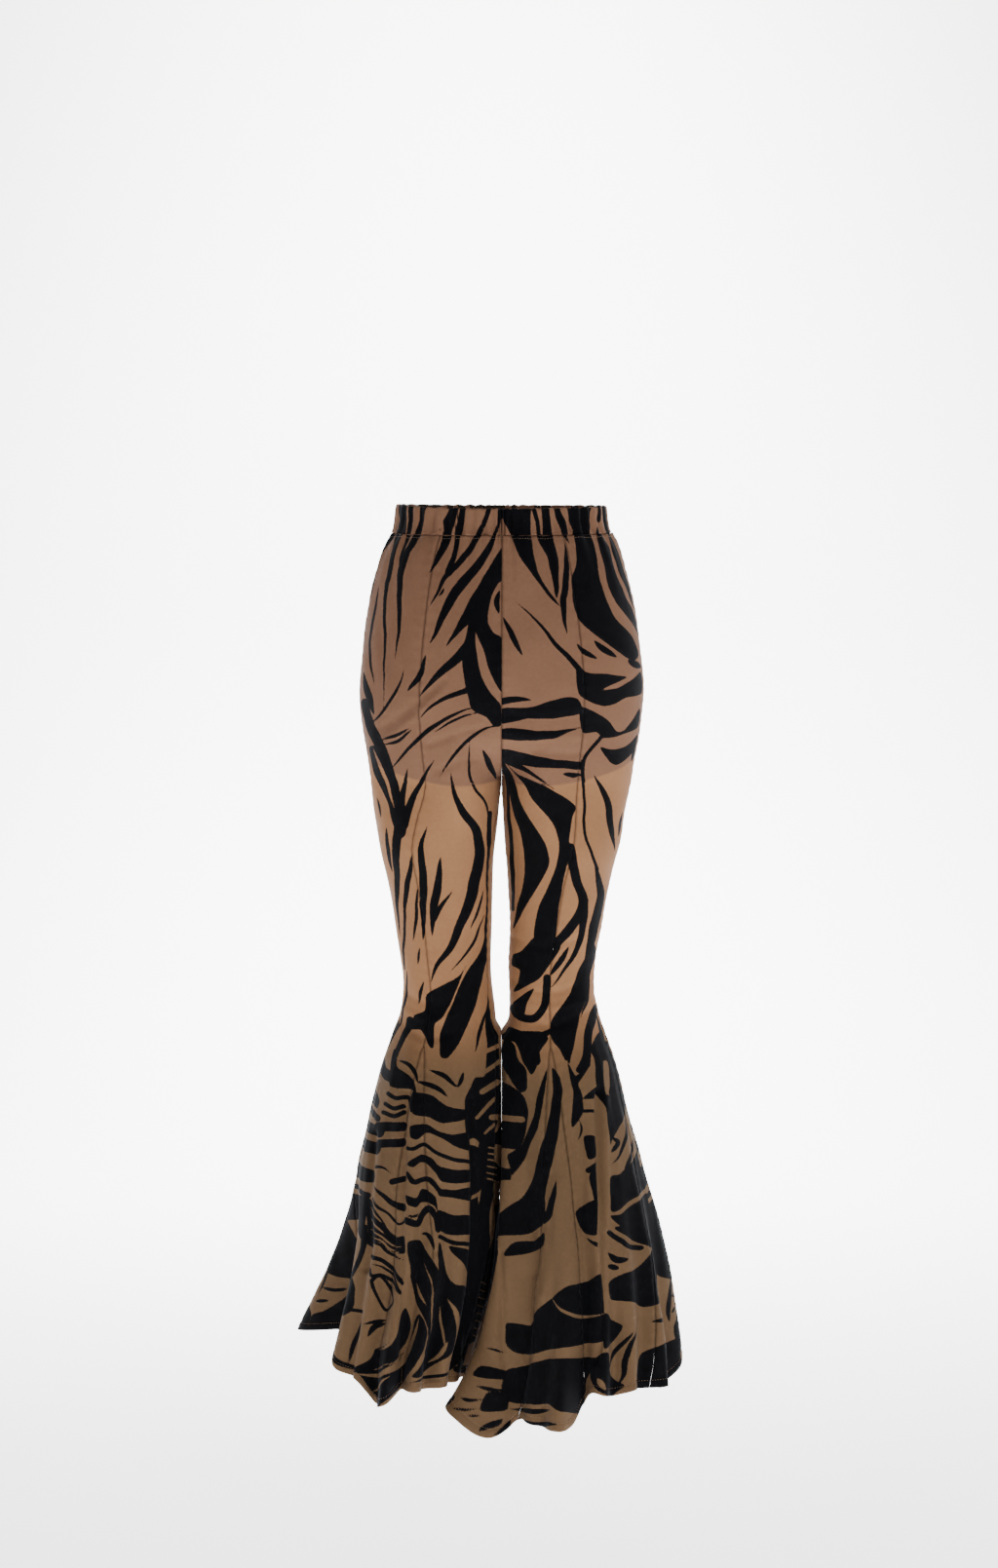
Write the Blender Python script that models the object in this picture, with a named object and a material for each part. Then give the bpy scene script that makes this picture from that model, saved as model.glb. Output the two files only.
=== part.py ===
"""Flared trousers with godets, in their worn, hollow shape, held at the waist.

Frame: metres, +Z up, origin at the centre of the waist opening.  The wearer faces +Y, so the
back of the trousers faces -Y and the wearer's right leg is at +X.

Every piece is a patch of one skin.  A place on the skin is how far round the leg it is, from 0
at the centre back (or inseam) past the outer side at 0.5 to 1 at the centre front (or inseam),
and its level, the height at which the row would lie if the hem were level.
"""
import bmesh
import bpy
import math

from mathutils import Vector

# Cloth and seams
WALL = 0.0015
SEAM_GAP = 0.0003
LINING_WALL = 0.0012
LINING_GAP = 0.0020
LINING_SPAN = 0.0060
LINING_SPAN_GROWTH = 40
APEX_HALF_SHARE = 0.0011

# Heights down the body
BAND_HEIGHT = 0.030
SEAT_TOP = -0.252
CROTCH = -0.316
KNEE = -0.580
LEVEL_HEM = -1.050
TURN_STARTS = -0.316
ROUND_BELOW = -0.410
THIGH_CORNER = 0.36
FORK_BLEND = 2.4
FORK_WIDTH = 0.12
FORK_RUN_OUT = 3.0

# Waistband: a casing gathered on elastic
BAND_WALL = 0.0042
BAND_GATHERS = 52
COLUMNS_PER_GATHER = 3
GATHER_DEPTH = 0.0016
GATHER_DEPTH_CHANGE = 0.4
GATHER_DEPTH_CYCLES = 5
GATHER_DEPTH_PHASE = 0.1
GATHER_AT_EDGES = 0.55
BAND_SECTION = (
    # share of the height from the top, share of the wall from the outside
    (0.00, 0.45),
    (0.07, 0.10),
    (0.50, 0.00),
    (0.92, 0.06),
    (1.00, 0.40),
    (0.94, 1.00),
    (0.06, 1.00),
)

# Columns of faces across a piece
PANEL_COLUMNS = 6
GODET_COLUMNS = 10
SIDE_INSET = 0.0005

# Steps for reading the skin's slope, about half a face
STEP_AROUND = 0.006
STEP_DOWN = 0.004

SMOOTH_ANGLE = math.radians(50)


def table(columns, *rows):
    """Rows of numbers under named columns, as a list of dictionaries."""
    names = columns.split()
    return [dict(zip(names, row)) for row in rows]


# Hips: half width, and reach to the back and the front, down from the waist
HIPS = table(
    "z half_width back front",
    (0.000, 0.1225, 0.088, 0.094),
    (-0.022, 0.1245, 0.089, 0.096),
    (-0.032, 0.1300, 0.093, 0.099),
    (-0.045, 0.1370, 0.097, 0.102),
    (-0.068, 0.1450, 0.103, 0.104),
    (-0.114, 0.1560, 0.113, 0.105),
    (-0.160, 0.1635, 0.121, 0.104),
    (-0.206, 0.1670, 0.122, 0.101),
    (-0.252, 0.1645, 0.115, 0.099),
    (-0.298, 0.1575, 0.104, 0.096),
    (-0.316, 0.1550, 0.099, 0.0935),
    (-0.350, 0.1500, 0.091, 0.088),
)

# Legs: outer and inner side, measured outwards from the centre line, and reach back and front
LEG_SECTIONS = {
    "right": table(
        "z outer inner back front",
        (-0.298, 0.1575, 0.0000, 0.103, 0.096),
        (-0.316, 0.1550, 0.0000, 0.099, 0.0935),
        (-0.330, 0.1520, 0.0006, 0.0962, 0.0918),
        (-0.360, 0.1460, 0.0022, 0.0890, 0.0872),
        (-0.395, 0.1405, 0.0040, 0.0795, 0.0805),
        (-0.438, 0.1300, 0.0070, 0.069, 0.072),
        (-0.485, 0.1215, 0.0088, 0.061, 0.065),
        (-0.532, 0.1125, 0.0088, 0.054, 0.058),
        (-0.568, 0.1105, 0.0095, 0.052, 0.055),
        (-0.603, 0.1160, 0.0090, 0.055, 0.058),
        (-0.627, 0.1240, 0.0040, 0.062, 0.064),
        (-0.655, 0.1345, 0.0008, 0.071, 0.072),
        (-0.723, 0.1530, 0.0006, 0.088, 0.088),
        (-0.795, 0.1730, 0.0006, 0.102, 0.102),
        (-0.868, 0.1920, -0.0015, 0.113, 0.112),
        (-0.941, 0.2040, -0.0070, 0.121, 0.119),
        (-1.014, 0.2120, -0.0160, 0.128, 0.126),
        (-1.110, 0.2130, -0.0250, 0.133, 0.130),
    ),
    "left": table(
        "z outer inner back front",
        (-0.298, 0.1575, 0.0000, 0.103, 0.096),
        (-0.316, 0.1550, 0.0000, 0.099, 0.0935),
        (-0.330, 0.1540, 0.0012, 0.0962, 0.0918),
        (-0.360, 0.1512, 0.0042, 0.0890, 0.0872),
        (-0.395, 0.1458, 0.0070, 0.0795, 0.0805),
        (-0.438, 0.1365, 0.0100, 0.069, 0.072),
        (-0.485, 0.1275, 0.0112, 0.061, 0.065),
        (-0.532, 0.1205, 0.0128, 0.054, 0.058),
        (-0.568, 0.1170, 0.0118, 0.052, 0.055),
        (-0.603, 0.1220, 0.0070, 0.055, 0.058),
        (-0.627, 0.1310, 0.0040, 0.062, 0.064),
        (-0.655, 0.1400, 0.0008, 0.071, 0.072),
        (-0.723, 0.1580, 0.0006, 0.088, 0.088),
        (-0.795, 0.1740, 0.0015, 0.100, 0.102),
        (-0.868, 0.1805, 0.0030, 0.109, 0.112),
        (-0.941, 0.1925, 0.0105, 0.116, 0.119),
        (-1.014, 0.2060, 0.0240, 0.121, 0.126),
        (-1.110, 0.2100, 0.0340, 0.124, 0.130),
    ),
}

# How far each leg's seams are turned outwards on the leg, in degrees
LEG_TURN = {
    "right": table(
        "z turn",
        (-0.316, 0.0),
        (-0.335, 0.8),
        (-0.365, 3.5),
        (-0.400, 5.0),
        (-0.460, 2.0),
        (-0.560, -4.0),
        (-0.640, -7.0),
        (-0.850, -18.0),
        (-1.050, -22.0),
    ),
    "left": table(
        "z turn",
        (-0.316, 0.0),
        (-0.335, 3.0),
        (-0.365, 12.0),
        (-0.400, 21.0),
        (-0.450, 23.0),
        (-0.560, 22.0),
        (-0.640, 22.0),
        (-0.850, 10.0),
        (-1.050, 3.0),
    ),
}

# Where the long seams lie round the leg
SEAM_PLACES = table(
    "z mid_back outseam mid_front",
    (0.000, 0.264, 0.5, 0.736),
    (-0.120, 0.267, 0.5, 0.733),
    (-0.235, 0.272, 0.5, 0.728),
    (-0.345, 0.270, 0.5, 0.730),
    (-0.450, 0.250, 0.5, 0.750),
    (-0.580, 0.250, 0.5, 0.750),
    (-1.050, 0.250, 0.5, 0.750),
)

# Godets: the level of the apex, and half the share of the ring that each takes at the hem
GODETS = {
    "inseam": {"apex": -0.605, "half_share": 0.052},
    "mid_back": {"apex": -0.630, "half_share": 0.060},
    "outseam": {"apex": -0.605, "half_share": 0.056},
    "mid_front": {"apex": -0.630, "half_share": 0.060},
}
GODET_SPREAD = 0.62
FOLD_GROWTH = 1.25

# Flare folds, by angle round the leg from the centre back towards the outer side.  A fold
# stands out (+) or sinks in (-) by its depth at the hem; below it the hem lies at hem_z.
FOLDS = {
    "right": table(
        "top_angle hem_angle depth half_width start hem_z",
        (-86, -88, -0.012, 10, -0.86, -1.064),
        (-66, -76, -0.012, 9, -0.84, -1.074),
        (-55, -63, 0.040, 14, -0.62, -1.056),
        (-56, -57, 0.036, 11, -0.98, -1.066),
        (-50, -50, 0.000, 9, -0.98, -1.094),
        (-42, -44, -0.026, 9, -0.66, -1.076),
        (-33, -36, 0.008, 9, -0.80, -1.074),
        (-20, -26, -0.012, 9, -0.84, -1.075),
        (-8, -16, 0.014, 9, -0.75, -1.072),
        (-6, -7, 0.000, 9, -0.80, -1.072),
        (4, -1, -0.030, 8, -0.68, -1.054),
        (8, 5, 0.000, 9, -0.80, -1.032),
        (14, 10, 0.012, 8, -0.72, -1.031),
        (23, 20, -0.022, 8, -0.80, -1.040),
        (33, 31, 0.010, 9, -0.80, -1.031),
        (43, 42, -0.024, 9, -0.78, -1.040),
        (56, 55, 0.012, 10, -0.80, -1.038),
        (68, 68, -0.022, 9, -0.74, -1.052),
        (90, 88, 0.008, 12, -0.80, -1.030),
        (108, 108, -0.024, 10, -0.72, -1.030),
        (124, 124, 0.010, 10, -0.80, -1.044),
        (138, 138, -0.026, 9, -0.76, -1.026),
        (153, 153, 0.012, 9, -0.80, -1.050),
        (168, 168, -0.027, 9, -0.69, -1.034),
        (184, 184, 0.012, 10, -0.78, -1.062),
        (199, 199, -0.025, 9, -0.74, -1.036),
        (214, 214, 0.010, 9, -0.80, -1.058),
        (229, 229, -0.026, 9, -0.72, -1.038),
        (248, 248, 0.008, 10, -0.80, -1.056),
    ),
    "left": table(
        "top_angle hem_angle depth half_width start hem_z",
        (-88, -88, -0.010, 10, -0.86, -1.044),
        (-68, -70, -0.018, 10, -0.80, -1.042),
        (-48, -50, -0.026, 10, -0.72, -1.040),
        (-32, -34, 0.004, 9, -0.72, -1.031),
        (-18, -20, -0.024, 9, -0.70, -1.036),
        (-6, -9, 0.012, 9, -0.75, -1.030),
        (4, 2, -0.028, 8, -0.68, -1.035),
        (14, 14, 0.014, 9, -0.74, -1.046),
        (24, 27, -0.025, 10, -0.72, -1.054),
        (36, 38, 0.012, 9, -0.78, -1.023),
        (46, 48, -0.016, 8, -0.84, -1.028),
        (56, 60, 0.010, 9, -0.84, -1.018),
        (76, 79, -0.026, 9, -0.80, -0.990),
        (94, 101, 0.048, 14, -0.83, -1.004),
        (116, 120, -0.026, 10, -0.76, -0.998),
        (130, 132, 0.010, 9, -0.80, -1.018),
        (144, 146, -0.026, 9, -0.72, -1.006),
        (158, 159, 0.012, 9, -0.80, -1.032),
        (173, 173, -0.027, 9, -0.69, -1.012),
        (189, 189, 0.012, 10, -0.78, -1.040),
        (204, 204, -0.026, 9, -0.74, -1.018),
        (219, 219, 0.010, 9, -0.80, -1.038),
        (234, 234, -0.025, 9, -0.72, -1.020),
        (252, 252, 0.008, 10, -0.80, -1.040),
    ),
}

# Lower edge of the brief-shaped lining, by place round the leg
LINING_EDGE = table(
    "place z",
    (0.00, -0.3155),
    (0.04, -0.3165),
    (0.12, -0.3170),
    (0.20, -0.3170),
    (0.28, -0.3130),
    (0.38, -0.3020),
    (0.50, -0.2880),
    (0.62, -0.2740),
    (0.75, -0.2700),
    (0.86, -0.2880),
    (0.95, -0.3120),
    (1.00, -0.3155),
)

SEAT_ROWS = [SEAT_TOP + (CROTCH - SEAT_TOP) * math.sin(math.radians(bend))
             for bend in (0, 17, 35, 52, 67, 80, 90)]
BODY_LEVELS = ([-BAND_HEIGHT - SEAM_GAP, -0.040, -0.056, -0.088, -0.135, -0.185]
               + SEAT_ROWS + [-0.334, -0.370, -0.420, -0.475, -0.530])
FLARE_LEVELS = [KNEE, -0.605, -0.630, -0.660, -0.695, -0.735, -0.775,
                -0.815, -0.860, -0.905, -0.945, -0.985, -1.020, LEVEL_HEM]

SIDES = {"left": -1, "right": 1}
MATERIALS = {
    # base colour, roughness
    "panel": ((0.20, 0.115, 0.065), 0.85),
    "godet": ((0.24, 0.14, 0.08), 0.85),
    "band": ((0.05, 0.04, 0.04), 0.90),
    "lining": ((0.36, 0.20, 0.12), 0.75),
}


def through(points, at):
    """Value at a place on a smooth curve through (place, value) points in rising order."""
    if at <= points[0][0]:
        return points[0][1]
    if at >= points[-1][0]:
        return points[-1][1]
    index = max(i for i in range(len(points) - 1) if points[i][0] <= at)
    (left, low), (right, high) = points[index], points[index + 1]
    span = right - left

    def slope(i):
        before = points[max(i - 1, 0)]
        after = points[min(i + 1, len(points) - 1)]
        return (after[1] - before[1]) / (after[0] - before[0])

    share = (at - left) / span
    rise = share * share * (3 - 2 * share)
    start = share * (1 - share) ** 2 * slope(index) * span
    end = share * share * (share - 1) * slope(index + 1) * span
    return low + (high - low) * rise + start + end


def column(rows, key, name):
    """The (key, value) points of one column, in rising order of the key."""
    return sorted((row[key], row[name]) for row in rows)


def columns(rows, key="z"):
    """All columns of a table as point lists."""
    return {name: column(rows, key, name) for name in rows[0] if name != key}


HIP_CURVES = columns(HIPS)
LEG_CURVES = {leg: columns(rows) for leg, rows in LEG_SECTIONS.items()}
TURN_CURVES = {leg: columns(rows) for leg, rows in LEG_TURN.items()}
SEAM_CURVES = columns(SEAM_PLACES)
LINING_CURVE = column(LINING_EDGE, "place", "z")


def hem_points(leg):
    """Hem heights by angle, repeated once each way so that the curve closes."""
    ring = column(FOLDS[leg], "hem_angle", "hem_z")
    return [(angle + turn, z) for turn in (-360, 0, 360) for angle, z in ring]


HEM_CURVES = {leg: hem_points(leg) for leg in SIDES}


def flare_share(level):
    """0 at the knee, 1 at the hem."""
    return max(0.0, (KNEE - level) / (KNEE - LEVEL_HEM))


def fold_offset(leg, angle, level):
    """How far the flare's folds push the cloth out at an angle."""
    share = flare_share(level)
    offset = 0.0
    for fold in FOLDS[leg]:
        if level >= fold["start"]:
            continue
        grown = (fold["start"] - level) / (fold["start"] - LEVEL_HEM)
        centre = fold["top_angle"] + (fold["hem_angle"] - fold["top_angle"]) * share
        away = (angle - centre + 180) % 360 - 180
        offset += fold["depth"] * grown ** FOLD_GROWTH * math.exp(-(away / fold["half_width"]) ** 2)
    return offset


def eased(value, start, end):
    """0 at the start and 1 at the end, with level ends."""
    share = min(1.0, max(0.0, (value - start) / (end - start)))
    return share * share * (3 - 2 * share)


def corner_depth(share):
    """How far the rounded inner corner of a thigh lies inside the hip oval, 1 at the middle."""
    left = max(0.0, 1 - share / THIGH_CORNER)
    return 1 - math.sqrt(max(0.0, 1 - left * left))


def fork_depth(share, level):
    """How deep the seat lies inside the hip oval: a quarter round down the middle seam, which
    runs out smoothly into the rounded corners of the two thighs."""
    drop = max(0.0, (SEAT_TOP - level) / (SEAT_TOP - CROTCH))
    if drop < 1:
        middle = 1 - math.sqrt(1 - drop * drop)
    else:
        middle = 1 + FORK_RUN_OUT * math.sqrt(drop - 1)
    corner = corner_depth(share)
    if min(middle, corner) <= 0 or corner >= 1:
        return min(middle, corner)
    power = max(FORK_BLEND, FORK_BLEND * FORK_WIDTH / share)
    low, high = min(middle, corner), max(middle, corner)
    return low * (1 + (low / high) ** power) ** (-1 / power)


def hip_point(place, level):
    """Plan position on the hip oval, for a leg on the +X side.

    Places crowd towards the middle, where the rows below run on under the crotch.
    """
    share = math.sin(math.pi * place) ** 2
    half_width = through(HIP_CURVES["half_width"], level)
    back = through(HIP_CURVES["back"], level)
    front = through(HIP_CURVES["front"], level)
    reach = -back if place < 0.5 else front
    depth = math.sqrt(1 - share * share) * (1 - fork_depth(share, level))
    return half_width * share, reach * depth


def reach_share(angle, level):
    """Share of the back or front reach at an angle.

    At the crotch the leg is half the hip oval with a rounded inner corner, and it rounds off
    into an oval down the thigh.
    """
    share = (1 + math.sin(angle)) / 2
    half_oval = math.sqrt(max(0.0, 1 - share * share)) * (1 - fork_depth(share, level))
    oval = abs(math.cos(angle))
    mixed = half_oval + (oval - half_oval) * eased(level, CROTCH, ROUND_BELOW)
    return math.copysign(mixed, math.cos(angle))


def leg_point(leg, place, level):
    """Plan position and height on the leg's ring, for a leg on the +X side."""
    turn = through(TURN_CURVES[leg]["turn"], level) if level < TURN_STARTS else 0.0
    degrees = -90 + turn + 360 * place
    angle = math.radians(degrees)
    around = (degrees + 180) % 360 - 180
    share = flare_share(level)
    z = level
    if share > 0:
        z = KNEE + share * (through(HEM_CURVES[leg], around) - KNEE)
    curves = LEG_CURVES[leg]
    outer = through(curves["outer"], z)
    inner = through(curves["inner"], z)
    reach = through(curves["back" if math.cos(angle) > 0 else "front"], z)
    fold = fold_offset(leg, around, level)
    x = (outer + inner) / 2 + ((outer - inner) / 2 + fold) * math.sin(angle)
    y = -reach * reach_share(angle, level) - fold * math.cos(angle)
    return x, y, z


def skin(leg, place, level):
    """A point on the outside of the cloth: on the hips down to the crotch, then on the leg."""
    if level >= CROTCH:
        x, y = hip_point(place, level)
        z = level
    else:
        x, y, z = leg_point(leg, place, level)
    return Vector((SIDES[leg] * x, y, z))


def across_skin(leg, place, level):
    """The skin's direction round the leg; above the crotch a leg's skin ends at the middle."""
    before, after = place - STEP_AROUND, place + STEP_AROUND
    if level > CROTCH:
        before, after = max(before, 0.0), min(after, 1.0)
    return skin(leg, after, level) - skin(leg, before, level)


def outward(leg, place, level):
    """Unit normal of the skin, away from the wearer."""
    down = skin(leg, place, level - STEP_DOWN) - skin(leg, place, level + STEP_DOWN)
    normal = down.cross(across_skin(leg, place, level)) * SIDES[leg]
    return normal.normalized()


def share_of_ring(leg, place, level, length, direction=1):
    """The change of place that covers a short length round the leg."""
    reach = 0.0
    step = length / 4
    start = skin(leg, place, level)
    while (skin(leg, place + direction * reach, level) - start).length < length:
        reach += step
    return direction * reach


def clear_of_middle(leg, point):
    """The point, kept half a seam gap on its own side of the middle down to the thighs."""
    if point.z < ROUND_BELOW:
        return point
    reach = max(SIDES[leg] * point.x, SEAM_GAP / 2)
    return Vector((SIDES[leg] * reach, point.y, point.z))


def seam_place(seam, level):
    """Where a seam lies round the leg."""
    if seam == "inseam":
        return 0.0
    return through(SEAM_CURVES[seam], level)


def godet_half_share(name, level):
    """Half the share of the ring that a godet takes at a level; 0 above its apex."""
    godet = GODETS[name]
    if level > godet["apex"]:
        return 0.0
    opened = (godet["apex"] - level) / (godet["apex"] - LEVEL_HEM)
    return APEX_HALF_SHARE + godet["half_share"] * opened ** GODET_SPREAD


def wall_rows(leg, levels, edges, count, depth=0.0, wall=WALL):
    """Outer and inner grids of a patch whose two edges are places given by level."""
    outer_rows, inner_rows = [], []
    for level in levels:
        first, last = edges(level)
        first += share_of_ring(leg, first, level, SEAM_GAP / 2)
        last += share_of_ring(leg, last, level, SEAM_GAP / 2, -1)
        outer, inner = [], []
        for index in range(count + 1):
            place = first + (last - first) * index / count
            point = skin(leg, place, level)
            normal = outward(leg, place, level)
            outer.append(clear_of_middle(leg, point - normal * depth))
            inner.append(clear_of_middle(leg, point - normal * (depth + wall)))
        outer_rows.append(outer)
        inner_rows.append(inner)
    return outer_rows, inner_rows


def grid_faces(mesh, rows):
    """Triangles between neighbouring rows, all split along the same diagonal."""
    for upper, lower in zip(rows, rows[1:]):
        for index in range(len(upper) - 1):
            mesh.faces.new((upper[index], lower[index], lower[index + 1]))
            mesh.faces.new((upper[index], lower[index + 1], upper[index + 1]))


def add_object(name, mesh, material, collection):
    """A named object from a bmesh, with its faces pointing out."""
    bmesh.ops.recalc_face_normals(mesh, faces=mesh.faces)
    if mesh.calc_volume(signed=True) < 0:
        bmesh.ops.reverse_faces(mesh, faces=mesh.faces)
    data = bpy.data.meshes.new(name)
    mesh.to_mesh(data)
    mesh.free()
    data.shade_smooth()
    data.set_sharp_from_angle(angle=SMOOTH_ANGLE)
    data.materials.append(material)
    item = bpy.data.objects.new(name, data)
    collection.objects.link(item)
    return item


def cloth_wall(name, outer_rows, inner_rows, material, collection):
    """A closed wall lofted between an outer and an inner grid of points."""
    mesh = bmesh.new()
    outer = [[mesh.verts.new(point) for point in row] for row in outer_rows]
    inner = [[mesh.verts.new(point) for point in row] for row in inner_rows]
    grid_faces(mesh, outer)
    grid_faces(mesh, inner)
    grid_faces(mesh, [outer[0], inner[0]])
    grid_faces(mesh, [outer[-1], inner[-1]])
    for end in (0, -1):
        grid_faces(mesh, [[row[end] for row in outer], [row[end] for row in inner]])
    return add_object(name, mesh, material, collection)


def panel_edges(first_seam, last_seam):
    """Edges of a long panel: the seams above the godets, and the godets' sides below."""
    def edges(level):
        first = seam_place(first_seam, level) + godet_half_share(first_seam, level)
        last = seam_place(last_seam, level) - godet_half_share(last_seam, level)
        return first, last + (1.0 if last_seam == "inseam" else 0.0)

    return edges


def godet_edges(name):
    """The two sides of a godet, from its tip to the hem."""
    def edges(level):
        place = seam_place(name, level)
        half = godet_half_share(name, level)
        return place - half, place + half

    return edges


def make_panels(leg, material, collection):
    """The four long panels of one leg, from the waistband to the hem."""
    seams = ("inseam", "mid_back", "outseam", "mid_front", "inseam")
    names = ("back_inner", "back_outer", "front_outer", "front_inner")
    levels = BODY_LEVELS + FLARE_LEVELS
    for name, first, last in zip(names, seams, seams[1:]):
        rows = wall_rows(leg, levels, panel_edges(first, last), PANEL_COLUMNS)
        cloth_wall(f"{name}_{leg}", *rows, material, collection)


def make_godets(leg, material, collection):
    """The four godets let into one leg's seams below the knee."""
    for name, godet in GODETS.items():
        levels = [level for level in FLARE_LEVELS if level <= godet["apex"]]
        rows = wall_rows(leg, levels, godet_edges(name), GODET_COLUMNS)
        cloth_wall(f"godet_{name}_{leg}", *rows, material, collection)


def lining_places(seam, middle, level):
    """Legs and places across the lining at a level, from one side seam to the other."""
    turn_in = -SIDE_INSET if middle < 0.5 else SIDE_INSET
    stops = [0.5 + turn_in, through(SEAM_CURVES[seam], level), middle]
    half = []
    for start, end in zip(stops, stops[1:]):
        half += [start + (end - start) * index / PANEL_COLUMNS for index in range(PANEL_COLUMNS)]
    across = [("left", place) for place in half + [middle]]
    return across + [("right", place) for place in reversed(half)]


def lining_row(places, share, depth):
    """One row of the lining across both legs, at a share of the way to its lower edge."""
    top = BODY_LEVELS[0]
    row = []
    for leg, place in places:
        level = top + share * (through(LINING_CURVE, place) - top)
        point = skin(leg, place, level)
        normal = outward(leg, place, level)
        inset = depth
        if place in (0.0, 1.0):
            normal = Vector((0.0, normal.y, normal.z)).normalized()
            point.x = 0.0
            inset += LINING_SPAN * min(1.0, LINING_SPAN_GROWTH * fork_depth(0.0, level))
        row.append(point - normal * inset)
    return row


def make_lining(name, seam, middle, material, collection):
    """Half of the brief-shaped lining, from side seam to side seam round the middle place."""
    outer_depth = WALL + LINING_GAP
    outer, inner = [], []
    for level in BODY_LEVELS[:BODY_LEVELS.index(SEAT_ROWS[-1]) + 1]:
        places = lining_places(seam, middle, level)
        share = (level - BODY_LEVELS[0]) / (CROTCH - BODY_LEVELS[0])
        outer.append(lining_row(places, share, outer_depth))
        inner.append(lining_row(places, share, outer_depth + LINING_WALL))
    cloth_wall(name, outer, inner, material, collection)


def band_point(turn, down, inwards):
    """A point of the waistband: share of the way round, of the height and of the wall."""
    level = -BAND_HEIGHT * down
    leg = "right" if turn < 0.5 else "left"
    place = 2 * turn if leg == "right" else 2 * (1 - turn)
    bulge = 1 - (2 * down - 1) ** 2
    cycle = math.cos(2 * math.pi * (GATHER_DEPTH_CYCLES * turn + GATHER_DEPTH_PHASE))
    depth = GATHER_DEPTH * (1 - GATHER_DEPTH_CHANGE * (1 - cycle))
    depth *= GATHER_AT_EDGES + (1 - GATHER_AT_EDGES) * bulge
    swell = depth * math.cos(2 * math.pi * BAND_GATHERS * turn) * (1 - inwards)
    point = skin(leg, place, level)
    away = Vector((point.x, point.y, 0)).normalized()
    return point + away * (swell - inwards * BAND_WALL)


def make_waistband(material, collection):
    """The gathered casing, one closed ring."""
    mesh = bmesh.new()
    count = BAND_GATHERS * COLUMNS_PER_GATHER
    rings = []
    for index in range(count):
        turn = (index + 0.5) / count
        rings.append([mesh.verts.new(band_point(turn, down, inwards))
                      for down, inwards in BAND_SECTION])
    rings.append(rings[0])
    for ring, following in zip(rings, rings[1:]):
        grid_faces(mesh, [ring + ring[:1], following + following[:1]])
    return add_object("waistband", mesh, material, collection)


def make_material(name):
    """A Principled material from the table of colours."""
    colour, roughness = MATERIALS[name]
    material = bpy.data.materials.new(name)
    material.use_nodes = True
    shader = material.node_tree.nodes["Principled BSDF"]
    shader.inputs["Base Color"].default_value = (*colour, 1)
    shader.inputs["Roughness"].default_value = roughness
    shader.inputs["Metallic"].default_value = 0.0
    return material


def main():
    for item in list(bpy.data.objects):
        bpy.data.objects.remove(item)
    collection = bpy.data.collections.new("flared_trousers")
    bpy.context.scene.collection.children.link(collection)
    materials = {name: make_material(name) for name in MATERIALS}
    make_waistband(materials["band"], collection)
    for leg in SIDES:
        make_panels(leg, materials["panel"], collection)
        make_godets(leg, materials["godet"], collection)
    make_lining("lining_back", "mid_back", 0.0, materials["lining"], collection)
    make_lining("lining_front", "mid_front", 1.0, materials["lining"], collection)


main()
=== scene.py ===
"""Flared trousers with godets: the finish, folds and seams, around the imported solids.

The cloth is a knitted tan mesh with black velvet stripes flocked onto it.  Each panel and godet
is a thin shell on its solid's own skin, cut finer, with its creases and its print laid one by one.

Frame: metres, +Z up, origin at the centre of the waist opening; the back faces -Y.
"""

import bpy
import math
import numpy as np

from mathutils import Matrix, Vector


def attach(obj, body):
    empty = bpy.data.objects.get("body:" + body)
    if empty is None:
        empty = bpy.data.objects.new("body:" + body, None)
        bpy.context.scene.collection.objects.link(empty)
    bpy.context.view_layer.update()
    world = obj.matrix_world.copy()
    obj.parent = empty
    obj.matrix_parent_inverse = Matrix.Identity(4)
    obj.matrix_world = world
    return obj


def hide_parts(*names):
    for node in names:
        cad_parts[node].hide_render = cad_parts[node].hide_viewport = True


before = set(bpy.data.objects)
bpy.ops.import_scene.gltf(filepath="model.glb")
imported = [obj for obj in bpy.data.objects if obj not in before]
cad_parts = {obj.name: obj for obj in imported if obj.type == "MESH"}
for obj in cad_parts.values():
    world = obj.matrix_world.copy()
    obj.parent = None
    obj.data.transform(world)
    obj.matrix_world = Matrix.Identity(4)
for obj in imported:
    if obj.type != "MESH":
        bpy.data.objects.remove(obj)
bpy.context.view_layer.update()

MM = 0.001
BODY = "root"

# Heights down the body, as the solids have them
BAND_HEIGHT = 0.030
SEAT_TOP = -0.252
CROTCH = -0.316
KNEE = -0.580
LEVEL_HEM = -1.050
ROUND_BELOW = -0.410
THIGH_CORNER = 0.36
FORK_BLEND = 2.4
FORK_WIDTH = 0.12
FORK_RUN_OUT = 3.0
FORK_SHARPEST = 400.0
APEX_HALF_SHARE = 0.0011
LINING_DEPTH = 0.0035
LINING_SPAN = 0.0060
LINING_SPAN_GROWTH = 40
STEP_AROUND = 0.003
STEP_DOWN = 0.002

PANEL_TOP = -0.0303
LINING_SIDE_GAP = 0.0005
LINING_SPAN_REACH = 0.003

# Cloth
CLOTH_WALL = 0.0009
LINING_WALL = 0.0008
HEM_TURN = 0.009
HEM_ROLL = 0.0006
CUT_GAP = 0.00012
SEAM_GROOVE = 0.0011
SEAM_GROOVE_WIDTH = 0.0018
SEAM_SHADE_WIDTH = 0.0015
SEAM_SHADE = 0.62
PUCKER = 0.00035
TOUCH_TOP = -0.610
TOUCH_FULL = -0.630
TOUCH_LOW = -0.860
TOUCH_END = -0.900
TOUCH_REACH = 0.012
TOUCH_PRESS = 0.0030
GAP_PLACES = 400
PUCKER_REACH = 0.007
PUCKER_PITCH = 0.013
PUCKER_DRIFT = 1.8
PUCKER_DRIFT_LENGTH = 0.041
HEM_STEP = 0.001
HEM_GROOVE_WIDTH = 0.0009
LINING_SHADE_EDGE = 0.0012

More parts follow.
